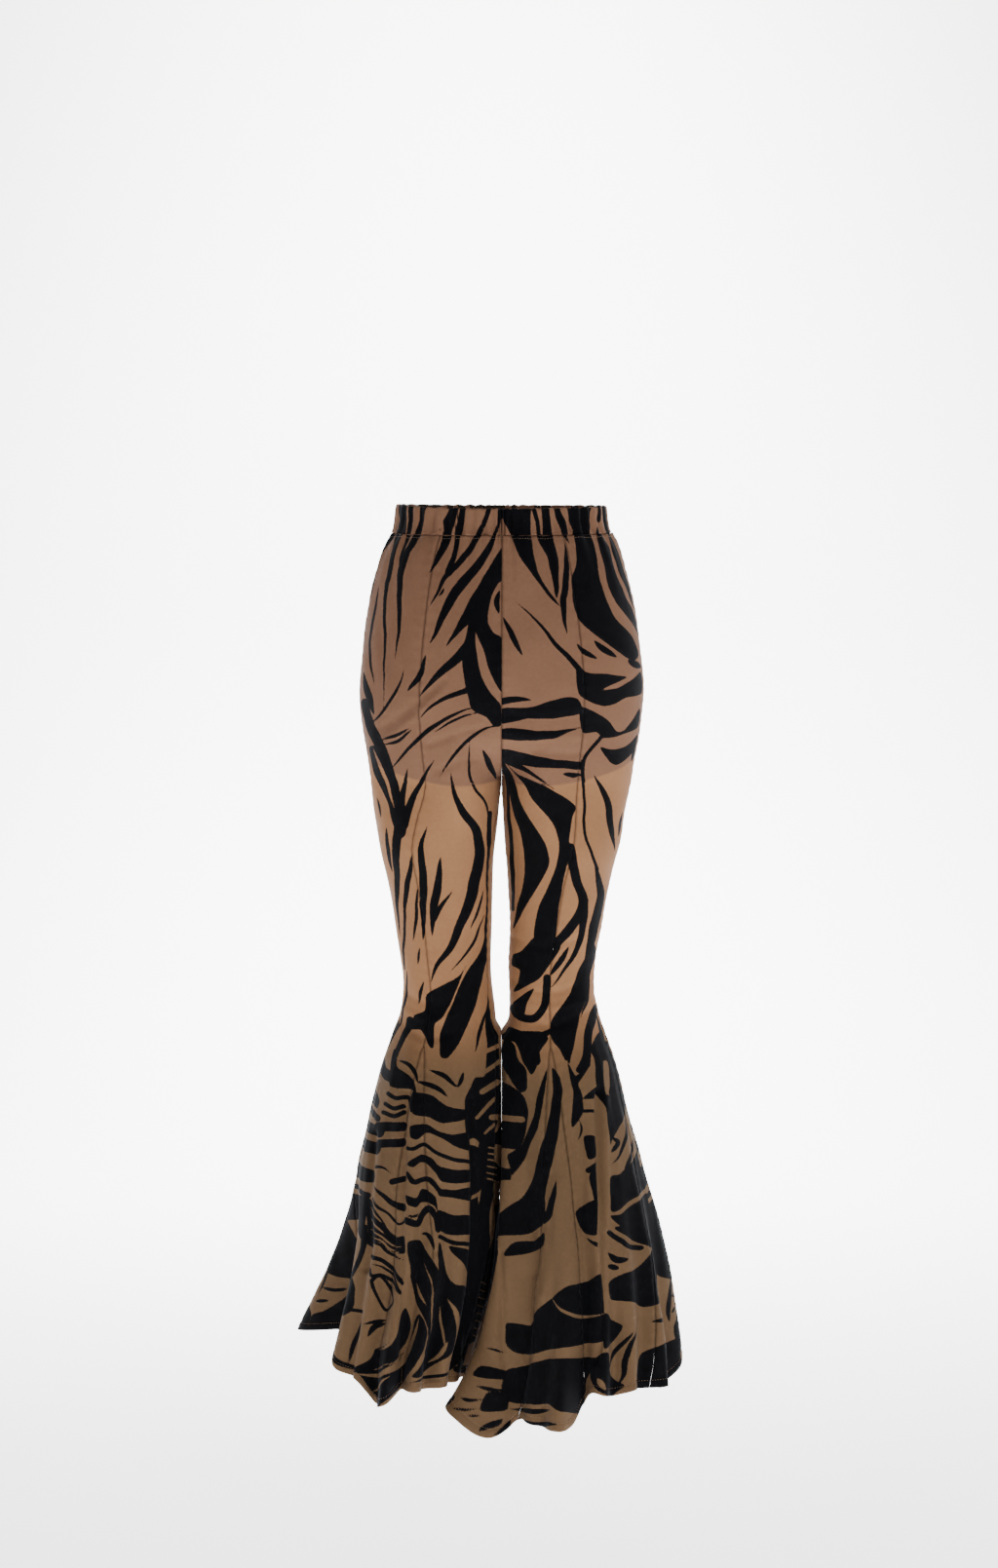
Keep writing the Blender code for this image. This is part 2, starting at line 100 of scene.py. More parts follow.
# Fineness of the grids, outer side; the inner side has every second row and column
BACK_FINENESS = (78, 600)
FRONT_FINENESS = (60, 440)
GODET_FINENESS = (70, 210)
LINING_COLUMNS = 150
LINING_ROWS = 110

# Waistband casing
BAND_WALL = 0.0040
BAND_GATHERS = 52
BAND_STEPS = 10
BAND_PROFILE = 20
BAND_CORNER = 0.36
GATHER_DEPTH = 0.0026
BAND_TOP_WAVE = 0.0016
BAND_LEFT_RISE = 0.0030
BAND_RIGHT_RISE = 0.0012
GATHER_AT_EDGES = 0.45
GATHER_SHARPNESS = 0.6
GATHER_MEAN = 0.65
GATHER_SPREAD = 0.35
GATHER_SPREAD_WAVES = 7
BAND_SLANT = 0.8
BAND_SLANT_WAVES = 3
BAND_INSIDE = 0.9
BAND_HALF_LENGTH = 0.36

# Stitches
WAIST_STITCH_LEVEL = -0.0335
HEM_STITCH_LEVEL = -1.0405
THREAD_LIFT = 0.0003
THREAD_WIDTH = 0.00042
STITCH_LENGTH = 0.0022
WAIST_STITCH_PITCH = 0.0030
HEM_STITCH_PITCH = 0.0032

# Where the flare starts to look darker, and where it is full: the doubled mesh, with painted shade
# of its hollow inside seen through it
FLARE_SHADE_TOP = -0.575
FLARE_SHADE_FULL = -0.680

# The studio
FLOOR = -1.30
SWEEP = 1.0
SWEEP_STEPS = 12
STAGE_HALF_WIDTH = 6.0
STAGE_NEAR = -6.0
STAGE_BEND = 1.6
STAGE_TOP = 5.0
LENS = 62.54
SENSOR = 36
CAMERA_PLACE = (-0.003, -3.2, 0.08)
CAMERA_TURN = 82.76

SIDES = {"left": -1, "right": 1}
OTHER_LEG = {"left": "right", "right": "left"}


def table(columns, *rows):
    """Rows of numbers under named columns, as a list of dictionaries."""
    names = columns.split()
    return [dict(zip(names, row)) for row in rows]


# Hips: half width, and reach to the back and the front, down from the waist
HIPS = table(
    "z half_width back front",
    (0.000, 0.1225, 0.088, 0.094),
    (-0.022, 0.1245, 0.089, 0.096),
    (-0.032, 0.1300, 0.093, 0.099),
    (-0.045, 0.1370, 0.097, 0.102),
    (-0.068, 0.1450, 0.103, 0.104),
    (-0.114, 0.1560, 0.113, 0.105),
    (-0.160, 0.1635, 0.121, 0.104),
    (-0.206, 0.1670, 0.122, 0.101),
    (-0.252, 0.1645, 0.115, 0.099),
    (-0.298, 0.1575, 0.104, 0.096),
    (-0.316, 0.1550, 0.099, 0.0935),
    (-0.350, 0.1500, 0.091, 0.088),
)

# Legs: outer and inner side, measured outwards from the centre line, and reach back and front
LEG_SECTIONS = {
    "right": table(
        "z outer inner back front",
        (-0.298, 0.1575, 0.0000, 0.103, 0.096),
        (-0.316, 0.1550, 0.0000, 0.099, 0.0935),
        (-0.330, 0.1520, 0.0006, 0.0962, 0.0918),
        (-0.360, 0.1460, 0.0022, 0.0890, 0.0872),
        (-0.395, 0.1405, 0.0040, 0.0795, 0.0805),
        (-0.438, 0.1300, 0.0070, 0.069, 0.072),
        (-0.485, 0.1215, 0.0088, 0.061, 0.065),
        (-0.532, 0.1125, 0.0088, 0.054, 0.058),
        (-0.568, 0.1105, 0.0095, 0.052, 0.055),
        (-0.603, 0.1160, 0.0090, 0.055, 0.058),
        (-0.627, 0.1240, 0.0040, 0.062, 0.064),
        (-0.655, 0.1345, 0.0008, 0.071, 0.072),
        (-0.723, 0.1530, 0.0006, 0.088, 0.088),
        (-0.795, 0.1730, 0.0006, 0.102, 0.102),
        (-0.868, 0.1920, -0.0015, 0.113, 0.112),
        (-0.941, 0.2040, -0.0070, 0.121, 0.119),
        (-1.014, 0.2120, -0.0160, 0.128, 0.126),
        (-1.110, 0.2130, -0.0250, 0.133, 0.130),
    ),
    "left": table(
        "z outer inner back front",
        (-0.298, 0.1575, 0.0000, 0.103, 0.096),
        (-0.316, 0.1550, 0.0000, 0.099, 0.0935),
        (-0.330, 0.1540, 0.0012, 0.0962, 0.0918),
        (-0.360, 0.1512, 0.0042, 0.0890, 0.0872),
        (-0.395, 0.1458, 0.0070, 0.0795, 0.0805),
        (-0.438, 0.1365, 0.0100, 0.069, 0.072),
        (-0.485, 0.1275, 0.0112, 0.061, 0.065),
        (-0.532, 0.1205, 0.0128, 0.054, 0.058),
        (-0.568, 0.1170, 0.0118, 0.052, 0.055),
        (-0.603, 0.1220, 0.0070, 0.055, 0.058),
        (-0.627, 0.1310, 0.0040, 0.062, 0.064),
        (-0.655, 0.1400, 0.0008, 0.071, 0.072),
        (-0.723, 0.1580, 0.0006, 0.088, 0.088),
        (-0.795, 0.1740, 0.0015, 0.100, 0.102),
        (-0.868, 0.1805, 0.0030, 0.109, 0.112),
        (-0.941, 0.1925, 0.0105, 0.116, 0.119),
        (-1.014, 0.2060, 0.0240, 0.121, 0.126),
        (-1.110, 0.2100, 0.0340, 0.124, 0.130),
    ),
}

# How far each leg's seams are turned outwards on the leg, in degrees
LEG_TURN = {
    "right": table(
        "z turn",
        (-0.316, 0.0),
        (-0.335, 0.8),
        (-0.365, 3.5),
        (-0.400, 5.0),
        (-0.460, 2.0),
        (-0.560, -4.0),
        (-0.640, -7.0),
        (-0.850, -18.0),
        (-1.050, -22.0),
    ),
    "left": table(
        "z turn",
        (-0.316, 0.0),
        (-0.335, 3.0),
        (-0.365, 12.0),
        (-0.400, 21.0),
        (-0.450, 23.0),
        (-0.560, 22.0),
        (-0.640, 22.0),
        (-0.850, 10.0),
        (-1.050, 3.0),
    ),
}

# Where the long seams lie round the leg
SEAM_PLACES = table(
    "z mid_back outseam mid_front",
    (0.000, 0.264, 0.5, 0.736),
    (-0.120, 0.267, 0.5, 0.733),
    (-0.235, 0.272, 0.5, 0.728),
    (-0.345, 0.270, 0.5, 0.730),
    (-0.450, 0.250, 0.5, 0.750),
    (-0.580, 0.250, 0.5, 0.750),
    (-1.050, 0.250, 0.5, 0.750),
)

# Godets: the level of the apex, and half the share of the ring that each takes at the hem
GODETS = {
    "inseam": {"apex": -0.605, "half_share": 0.052},
    "mid_back": {"apex": -0.630, "half_share": 0.060},
    "outseam": {"apex": -0.605, "half_share": 0.056},
    "mid_front": {"apex": -0.630, "half_share": 0.060},
}
GODET_SPREAD = 0.62
FOLD_GROWTH = 1.25

# Flare folds, by angle round the leg from the centre back towards the outer side.  A fold
# stands out (+) or sinks in (-) by its depth at the hem; below it the hem lies at hem_z.
FOLDS = {
    "right": table(
        "top_angle hem_angle depth half_width start hem_z",
        (-86, -88, -0.012, 10, -0.86, -1.064),
        (-66, -76, -0.012, 9, -0.84, -1.074),
        (-55, -63, 0.040, 14, -0.62, -1.056),
        (-56, -57, 0.036, 11, -0.98, -1.066),
        (-50, -50, 0.000, 9, -0.98, -1.094),
        (-42, -44, -0.026, 9, -0.66, -1.076),
        (-33, -36, 0.008, 9, -0.80, -1.074),
        (-20, -26, -0.012, 9, -0.84, -1.075),
        (-8, -16, 0.014, 9, -0.75, -1.072),
        (-6, -7, 0.000, 9, -0.80, -1.072),
        (4, -1, -0.030, 8, -0.68, -1.054),
        (8, 5, 0.000, 9, -0.80, -1.032),
        (14, 10, 0.012, 8, -0.72, -1.031),
        (23, 20, -0.022, 8, -0.80, -1.040),
        (33, 31, 0.010, 9, -0.80, -1.031),
        (43, 42, -0.024, 9, -0.78, -1.040),
        (56, 55, 0.012, 10, -0.80, -1.038),
        (68, 68, -0.022, 9, -0.74, -1.052),
        (90, 88, 0.008, 12, -0.80, -1.030),
        (108, 108, -0.024, 10, -0.72, -1.030),
        (124, 124, 0.010, 10, -0.80, -1.044),
        (138, 138, -0.026, 9, -0.76, -1.026),
        (153, 153, 0.012, 9, -0.80, -1.050),
        (168, 168, -0.027, 9, -0.69, -1.034),
        (184, 184, 0.012, 10, -0.78, -1.062),
        (199, 199, -0.025, 9, -0.74, -1.036),
        (214, 214, 0.010, 9, -0.80, -1.058),
        (229, 229, -0.026, 9, -0.72, -1.038),
        (248, 248, 0.008, 10, -0.80, -1.056),
    ),
    "left": table(
        "top_angle hem_angle depth half_width start hem_z",
        (-88, -88, -0.010, 10, -0.86, -1.044),
        (-68, -70, -0.018, 10, -0.80, -1.042),
        (-48, -50, -0.026, 10, -0.72, -1.040),
        (-32, -34, 0.004, 9, -0.72, -1.031),
        (-18, -20, -0.024, 9, -0.70, -1.036),
        (-6, -9, 0.012, 9, -0.75, -1.030),
        (4, 2, -0.028, 8, -0.68, -1.035),
        (14, 14, 0.014, 9, -0.74, -1.046),
        (24, 27, -0.025, 10, -0.72, -1.054),
        (36, 38, 0.012, 9, -0.78, -1.023),
        (46, 48, -0.016, 8, -0.84, -1.028),
        (56, 60, 0.010, 9, -0.84, -1.018),
        (76, 79, -0.026, 9, -0.80, -0.990),
        (94, 101, 0.048, 14, -0.83, -1.004),
        (116, 120, -0.026, 10, -0.76, -0.998),
        (130, 132, 0.010, 9, -0.80, -1.018),
        (144, 146, -0.026, 9, -0.72, -1.006),
        (158, 159, 0.012, 9, -0.80, -1.032),
        (173, 173, -0.027, 9, -0.69, -1.012),
        (189, 189, 0.012, 10, -0.78, -1.040),
        (204, 204, -0.026, 9, -0.74, -1.018),
        (219, 219, 0.010, 9, -0.80, -1.038),
        (234, 234, -0.025, 9, -0.72, -1.020),
        (252, 252, 0.008, 10, -0.80, -1.040),
    ),
}

# Lower edge of the brief-shaped lining, by place round the leg
LINING_EDGE = table(
    "place z",
    (0.00, -0.3155),
    (0.04, -0.3165),
    (0.12, -0.3170),
    (0.20, -0.3170),
    (0.28, -0.3130),
    (0.38, -0.3020),
    (0.50, -0.2880),
    (0.62, -0.2740),
    (0.75, -0.2700),
    (0.86, -0.2880),
    (0.95, -0.3120),
    (1.00, -0.3155),
)


# ---------------------------------------------------------------- the skin of the trousers

def curve(rows, key, name):
    """One column of a table as (places, values), in rising order of the key."""
    points = sorted((row[key], row[name]) for row in rows)
    return np.array(points, float).T


def through(points, at):
    """Values at places on a smooth curve through the points."""
    places, values = points
    ahead = np.minimum(np.arange(len(places)) + 1, len(places) - 1)
    behind = np.maximum(np.arange(len(places)) - 1, 0)
    slopes = (values[ahead] - values[behind]) / (places[ahead] - places[behind])
    at = np.clip(at, places[0], places[-1])
    index = np.clip(np.searchsorted(places, at, side="right") - 1, 0, len(places) - 2)
    span = places[index + 1] - places[index]
    share = (at - places[index]) / span
    rise = share * share * (3 - 2 * share)
    start = share * (1 - share) ** 2 * slopes[index] * span
    end = share * share * (share - 1) * slopes[index + 1] * span
    return values[index] + (values[index + 1] - values[index]) * rise + start + end


def curves(rows, key="z"):
    """All columns of a table as curves."""
    return {name: curve(rows, key, name) for name in rows[0] if name != key}


def hem_curve(leg):
    """Hem heights by angle, repeated once each way so that the curve closes."""
    ring = curve(FOLDS[leg], "hem_angle", "hem_z")
    return np.concatenate([ring + [[turn], [0]] for turn in (-360, 0, 360)], axis=1)


HIP_CURVES = curves(HIPS)
LEG_CURVES = {leg: curves(rows) for leg, rows in LEG_SECTIONS.items()}
TURN_CURVES = {leg: curves(rows) for leg, rows in LEG_TURN.items()}
SEAM_CURVES = curves(SEAM_PLACES)
LINING_CURVE = curve(LINING_EDGE, "place", "z")
HEM_CURVES = {leg: hem_curve(leg) for leg in SIDES}


def eased(value, start, end):
    """0 at the start and 1 at the end, with level ends."""
    share = np.clip((value - start) / (end - start), 0, 1)
    return share * share * (3 - 2 * share)


def flare_share(level):
    """0 at the knee, 1 at the hem."""
    return np.maximum(0.0, (KNEE - level) / (KNEE - LEVEL_HEM))


def fold_offset(leg, angle, level):
    """How far the flare's folds push the cloth out at an angle."""
    share = flare_share(level)
    offset = np.zeros_like(angle)
    for fold in FOLDS[leg]:
        grown = np.maximum(0.0, (fold["start"] - level) / (fold["start"] - LEVEL_HEM))
        centre = fold["top_angle"] + (fold["hem_angle"] - fold["top_angle"]) * share
        away = (angle - centre + 180) % 360 - 180
        offset += fold["depth"] * grown ** FOLD_GROWTH * np.exp(-(away / fold["half_width"]) ** 2)
    return offset


def fork_depth(share, level):
    """How deep the seat lies inside the hip oval, between and over the two thighs."""
    drop = np.maximum(0.0, (SEAT_TOP - level) / (SEAT_TOP - CROTCH))
    above = 1 - np.sqrt(np.maximum(0.0, 1 - np.minimum(drop, 1.0) ** 2))
    middle = np.where(drop < 1, above, 1 + FORK_RUN_OUT * np.sqrt(np.maximum(drop - 1, 0.0)))
    left = np.maximum(0.0, 1 - share / THIGH_CORNER)
    corner = 1 - np.sqrt(np.maximum(0.0, 1 - left * left))
    low, high = np.minimum(middle, corner), np.maximum(middle, corner)
    power = np.maximum(FORK_BLEND, FORK_BLEND * FORK_WIDTH / np.maximum(share, 1e-9))
    power = np.minimum(power, FORK_SHARPEST)
    blended = low * (1 + (low / np.maximum(high, 1e-12)) ** power) ** (-1 / power)
    return np.where((low <= 0) | (corner >= 1), low, blended)


def hip_point(place, level):
    """Plan position on the hip oval, for a leg on the +X side."""
    share = np.sin(np.pi * place) ** 2
    half_width = through(HIP_CURVES["half_width"], level)
    back = through(HIP_CURVES["back"], level)
    front = through(HIP_CURVES["front"], level)
    reach = np.where(place < 0.5, -back, front)
    depth = np.sqrt(np.maximum(0.0, 1 - share * share)) * (1 - fork_depth(share, level))
    return half_width * share, reach * depth


def leg_point(leg, place, level, folded):
    """Plan position and height on the leg's ring, for a leg on the +X side."""
    turn = np.where(level < CROTCH, through(TURN_CURVES[leg]["turn"], level), 0.0)
    degrees = -90 + turn + 360 * place
    angle = np.radians(degrees)
    around = (degrees + 180) % 360 - 180
    share = flare_share(level)
    hem = through(HEM_CURVES[leg], around)
    z = np.where(share > 0, KNEE + share * (hem - KNEE), level)
    outer = through(LEG_CURVES[leg]["outer"], z)
    inner = through(LEG_CURVES[leg]["inner"], z)
    back = through(LEG_CURVES[leg]["back"], z)
    front = through(LEG_CURVES[leg]["front"], z)
    reach = np.where(np.cos(angle) > 0, back, front)
    fold = fold_offset(leg, around, level) if folded else 0.0
    half = (1 + np.sin(angle)) / 2
    half_oval = np.sqrt(np.maximum(0.0, 1 - half * half)) * (1 - fork_depth(half, level))
    oval = np.abs(np.cos(angle))
    mixed = half_oval + (oval - half_oval) * eased(level, CROTCH, ROUND_BELOW)
    x = (outer + inner) / 2 + ((outer - inner) / 2 + fold) * np.sin(angle)
    y = -reach * np.copysign(mixed, np.cos(angle)) - fold * np.cos(angle)
    return x, y, z


def skin(leg, place, level, folded=True):
    """Points on the outside of the cloth: the hips down to the crotch, then the leg."""
    place, level = np.broadcast_arrays(np.asarray(place, float), np.asarray(level, float))
    hip_x, hip_y = hip_point(place, level)
    leg_x, leg_y, leg_z = leg_point(leg, place, level, folded)
    on_hips = level >= CROTCH
    x = SIDES[leg] * np.where(on_hips, hip_x, leg_x)
    return np.stack([x, np.where(on_hips, hip_y, leg_y), np.where(on_hips, level, leg_z)], -1)


def unit(vectors):
    """The vectors at length 1."""
    return vectors / np.maximum(np.linalg.norm(vectors, axis=-1, keepdims=True), 1e-12)


def outward(leg, place, level):
    """Unit normals of the skin, away from the wearer."""
    down = skin(leg, place, level - STEP_DOWN) - skin(leg, place, level + STEP_DOWN)
    lowest = np.where(level > CROTCH, np.maximum(place - STEP_AROUND, 0.0), place - STEP_AROUND)
    highest = np.where(level > CROTCH, np.minimum(place + STEP_AROUND, 1.0), place + STEP_AROUND)
    across = skin(leg, highest, level) - skin(leg, lowest, level)
    return unit(np.cross(down, across) * SIDES[leg])


def seam_place(seam, level):
    """Where a seam lies round the leg."""
    if seam == "inseam":
        return np.zeros_like(level)
    return through(SEAM_CURVES[seam], level)


def godet_half_share(name, level):
    """Half the share of the ring that a godet takes at a level; 0 above its apex."""
    godet = GODETS[name]
    opened = np.maximum(0.0, (godet["apex"] - level) / (godet["apex"] - LEVEL_HEM))
    half = APEX_HALF_SHARE + godet["half_share"] * opened ** GODET_SPREAD
    return np.where(level > godet["apex"], 0.0, half)


# ---------------------------------------------------------------- the print

# The print is drawn flat, in millimetres across from the centre back and down from the waist,
# and laid on in perspective from one place behind the trousers. At the sides it goes on round
# the leg, and the front has the other leg's print.
PRINT_DISTANCE = 3.2
PRINT_HEIGHT = 0.08
PRINT_TILT = math.radians(7.24)
PRINT_SCALE_ACROSS = 3200
PRINT_SCALE_DOWN = 3214
PRINT_DROP = 327.2
LEAST_TURN = 0.5
PLACE_STEP = 0.005
LEVEL_STEP = 0.006
BARE_CLOTH = -20.0
EDGE_WANDER = 0.45
LINE_STEPS = 6
OUTLINE_STEPS = 4

# Strokes: kind, width (minus for bare mesh left in the black), then places along it.
# Patches: black (1) or bare (-1), then the corners of their outline.
STROKES = {
    "left": (
        # from the waistband down over the hip
        ("tail", 10, (-117, 26), (-121.5, 36), (-125, 48), (-129, 66)),
        ("tail", 6, (-121, 34), (-125, 50), (-132, 82), (-137, 112), (-138, 245)),
        ("tail", 5, (-108, 26), (-111, 36), (-115, 48), (-118.5, 60), (-121, 74)),
        ("bar", 7.5, (-96, 27), (-100.5, 35), (-105, 44), (-110, 52), (-114, 60)),
        ("tail", 9, (-112, 56), (-117, 72), (-119, 82), (-119.8, 100), (-120.5, 128),
         (-125, 182)),
        ("tail", 10, (-124, 24), (-136, 38), (-146, 58), (-154, 90), (-158, 110)),
        ("leaf", 4, (-145, 90), (-152, 135), (-156, 165), (-149, 212)),
        ("tail", 13, (-62, 27), (-66, 40), (-70.5, 50), (-75, 60), (-79, 69), (-85, 79)),
        ("bar", 6, (-49, 27), (-51.5, 36), (-54, 48), (-56.5, 60), (-60, 68), (-63, 76)),
        ("bar", 7.2, (-26, 32), (-32, 41), (-38.5, 52), (-45, 60), (-51, 67), (-57, 73),
         (-62, 79)),
        ("tail", 7, (-59, 71), (-63.5, 80), (-69.5, 89), (-74.5, 100), (-79.5, 110), (-84.5, 119)),
        ("leaf", 11.5, (-3.5, 22), (-7.5, 32), (-16, 50), (-29.5, 71), (-45, 89.5), (-54, 100),
         (-60, 110), (-65, 120), (-71.5, 135), (-85, 162)),
        ("leaf", 3, (-68, 96), (-70, 101), (-74, 106)),
        # the dark mass beside the centre back
        ("patch", 1, (2, 47), (-11, 65), (-25, 90), (-40, 114), (-53, 142), (-66, 165),
         (-46, 146), (-37, 139), (-31, 146), (-23, 165), (-16, 188), (-8, 206), (2, 219),
         (2, 160), (-9, 149), (-15, 138), (-16, 124), (-12, 105), (-5, 91), (2, 83)),
        ("patch", 1, (-38, 138), (-31, 143), (-30, 171), (-24, 199), (-13, 220), (-1, 234),
         (0, 258), (-9, 259), (-18, 248), (-36, 239), (-42, 213), (-46, 188), (-47, 170),
         (-42, 156)),
        ("leaf", 7, (-3, 98), (-6, 112), (-3, 126)),
        ("tail", 14, (-39, 166), (-55, 181), (-79, 203), (-98, 225)),
        ("tail", 7, (-40, 217), (-58, 222), (-77, 232), (-98, 252)),
        ("leaf", 5, (-30, 237), (-53, 244), (-84, 262), (-110, 287), (-131, 311)),
        ("leaf", 3, (-28, 243), (-53, 251), (-80, 266)),
        ("leaf", 7, (-89, 175), (-96, 197), (-111, 218)),
        ("leaf", 3.5, (-114, 190), (-121, 212), (-137, 240), (-151, 254), (-160, 251)),
        ("leaf", 9, (-163, 194), (-158, 218), (-149, 246)),
        ("bar", 12, (-163, 232), (-153, 262), (-141, 286), (-131, 318)),
        ("leaf", 4, (-107, 261), (-121, 268), (-141, 275)),
        ("leaf", 4, (-105, 263), (-122, 276), (-139, 281)),
        ("leaf", 4, (0, 258), (-19, 262), (-36, 273), (-57, 294), (-73, 320)),
        ("leaf", 3.5, (-38, 275), (-38, 312), (-31, 333), (-18, 351), (-11, 384)),
        ("leaf", 7, (-23, 286), (-14, 305), (-3, 322)),
        # outer thigh
        ("patch", 1, (-157, 284), (-136, 284), (-128, 311), (-121, 330), (-115, 364),
         (-113, 386), (-121, 392), (-128, 376), (-133, 352), (-144, 330), (-153, 306)),
        ("leaf", -4, (-151, 284), (-139, 315), (-125, 358)),
        ("tail", 10, (-119, 356), (-115, 332), (-110, 308)),
        ("tail", 11, (-116, 376), (-107, 350), (-95, 325), (-78, 298)),
        ("tail", 12, (-121, 370), (-124, 400), (-123, 440), (-121.5, 480), (-119.5, 507)),
        ("leaf", 3, (-148, 342), (-144, 356), (-141, 368)),
        ("leaf", 9.5, (-88, 377), (-94.5, 400), (-93.5, 420), (-92, 459), (-92, 500), (-92.5, 513)),
        ("leaf", 6.5, (-105, 410), (-107, 425), (-110, 440), (-112, 460), (-113.5, 482)),
        ("bar", 3, (-113, 474), (-114, 500), (-115, 530), (-115, 545)),
        ("leaf", 4, (-99, 448), (-100, 480), (-104, 514)),
        ("leaf", 10, (-71, 412), (-74, 440), (-79, 470), (-82, 506)),
        ("tail", 8, (-80, 486), (-70, 470), (-58, 453)),
        ("leaf", 3, (-95, 520), (-98, 540)),
        ("leaf", 4, (-92, 560), (-98, 587)),
        ("leaf", 5, (-136, 378), (-134, 402), (-129, 432)),
        ("leaf", 13, (-59, 312), (-56, 336), (-46, 360), (-30, 380), (-26.5, 400), (-27.5, 420),
         (-31.5, 440), (-36, 459), (-42.5, 480), (-50.5, 500), (-60, 520), (-67.5, 530),
         (-75, 540), (-84, 562)),
        # inner thigh down to the knee
        # painted shade: this bar is drawn as wide as the black and the shade beside it along the
        # inner side
        ("bar", 7, (-12, 362), (-13.5, 400), (-14.8, 440), (-15.5, 480), (-17, 518)),
        ("leaf", 3, (-22, 452), (-28, 476), (-36, 500)),
        ("leaf", 3, (-20, 480), (-34, 517), (-60, 549)),
        ("patch", 1, (-15, 490), (-16, 520), (-22, 557), (-33, 595), (-47, 628), (-63, 650),
         (-72, 647), (-73, 623), (-65, 604), (-50, 566), (-35, 541), (-24, 522)),
        ("patch", 1, (-38, 534), (-49, 553), (-87, 575), (-90, 595), (-102, 600),
         (-109, 616), (-95, 618), (-85, 637), (-80, 637), (-79, 611), (-67, 600), (-50, 562)),
        ("leaf", 4, (-111, 546), (-115, 590), (-128, 622)),
        ("tail", 9, (-108, 606), (-115, 624), (-121, 637), (-124, 647), (-126, 655), (-122, 690)),
        ("leaf", 7, (-124, 604), (-131, 620), (-137, 632), (-139, 640)),
        ("leaf", 4, (-14, 588), (-25, 617), (-32, 644)),
        # inner edge of the flare, under the knee
        ("patch", 1, (-19, 616), (-14, 560), (-6, 590), (4, 660), (2, 690), (-8, 735),
         (-14, 760), (-30, 745), (-40, 747), (-43, 702), (-36, 685), (-30, 674), (-20, 672),
         (-19, 650)),
        ("bar", -5, (-21, 643), (-4, 634)),
        ("bar", -5, (-21, 668), (-2, 652)),
        ("bar", -6, (-23, 691), (-6, 678)),
        ("bar", -4, (-28, 721), (-10, 698)),
        ("bar", -3, (-19, 739), (-9, 728)),
        ("patch", 1, (-38, 755), (-22, 760), (-19, 800), (-24, 815), (-19, 850), (-27, 880),
         (-33, 850), (-34, 800)),
        ("bar", -4, (-33, 817), (-21, 810)),
        # painted shade: black laid over the shaded fold between the legs, where the print there is
        # only partly black
        ("patch", 1, (-26, 752), (-9, 740), (10, 720), (10, 850), (-24, 852), (-20, 800)),
        ("bar", -7, (-12, 720), (4, 720)),
        ("patch", -1, (-9, 753), (1, 756), (1, 779), (-9, 770)),
        ("patch", -1, (-8, 798), (2, 797), (2, 822), (-7, 822)),
        # middle of the flare: wavy bars
        ("leaf", 6, (-86, 665), (-68, 671), (-55, 682), (-49, 684)),
        ("leaf", 5, (-52, 685), (-47, 677), (-44, 667)),
        ("leaf", 6, (-101, 677), (-90, 681), (-75, 687), (-63, 697)),
        ("patch", 1, (-105, 691), (-82, 695), (-64, 707), (-40, 713), (-39, 723), (-68, 727),
         (-85, 721), (-104, 716)),
        ("patch", 1, (-107, 731), (-88, 729), (-75, 736), (-59, 741), (-38, 740), (-37, 760),
         (-54, 755), (-72, 744), (-85, 739), (-91, 740), (-99, 747), (-107, 744)),
        ("bar", 4.5, (-111, 757), (-103, 758), (-91, 753), (-78, 761), (-59, 769), (-36, 774)),
        ("patch", 1, (-95, 765), (-82, 769), (-72, 778), (-53, 782), (-34, 784), (-33, 797),
         (-69, 797), (-77, 787), (-88, 776), (-96, 774), (-104, 779), (-112, 775)),
        ("bar", 6, (-112, 787), (-104, 796), (-95, 794), (-85, 795), (-73, 807)),
        ("patch", 1, (-74, 806), (-56, 806), (-33, 804), (-33, 820), (-56, 815), (-72, 814)),
        ("patch", 1, (-114, 812), (-101, 815), (-95, 805), (-87, 807), (-77, 816), (-73, 832),
         (-78, 826), (-88, 821), (-96, 821), (-101, 826), (-110, 823)),
        ("patch", 1, (-74, 830), (-53, 836), (-31, 838), (-29, 857), (-48, 860), (-64, 858),
         (-74, 850)),
        ("leaf", 3, (-112, 835), (-105, 837), (-97, 834)),
        ("bar", 8, (-113, 842), (-101, 846), (-94, 836), (-85, 829), (-77, 838), (-74, 852)),
        ("leaf", 5, (-96, 858), (-86, 860), (-78, 878)),
        ("bar", 5, (-72, 861), (-53, 869), (-31, 871)),
        # next fold out
        ("leaf", 5, (-122, 652), (-109, 658), (-102, 668), (-98, 680)),
        ("patch", 1, (-127, 640), (-130, 658), (-131, 684), (-107, 687), (-100, 692),
         (-103, 677), (-111, 669), (-123, 660), (-121, 642)),
        ("bar", 5, (-133, 693), (-124, 698), (-110, 697), (-105, 712)),
        ("bar", 5, (-136, 705), (-127, 710), (-116, 707)),
        ("bar", 5, (-139, 715), (-127, 719), (-116, 714)),
        ("bar", 11, (-146, 732), (-118, 731)),
        ("bar", 10, (-148, 752), (-118, 750)),
        ("tail", 4, (-149, 779), (-140, 780), (-130, 788)),
        ("bar", 7, (-130, 797), (-117, 793)),
        ("tail", 9, (-116, 827), (-130, 822), (-141, 812), (-153, 799)),
        ("bar", 3, (-153.5, 816), (-144.5, 827), (-134.5, 835), (-128, 843), (-122, 846),
         (-116, 843)),
        ("patch", 1, (-159, 818), (-153, 822), (-146, 832), (-140, 845), (-135, 854), (-126, 861),
         (-116, 861), (-114, 880), (-128, 880), (-140, 874), (-147, 868), (-160, 868)),
        ("leaf", -2.5, (-157, 826), (-147, 838), (-142, 846)),
        ("leaf", -2.5, (-158, 840), (-146, 852), (-139, 860)),
        ("leaf", -2.5, (-161, 852), (-147, 859), (-132, 871), (-118, 873)),
        ("leaf", -2.5, (-159, 862), (-145, 866), (-134, 876), (-119, 880)),
        # outer edge
        ("patch", 1, (-160, 646), (-143, 652), (-138, 662), (-128, 668), (-128, 680),
         (-140, 676), (-150, 668), (-162, 668)),
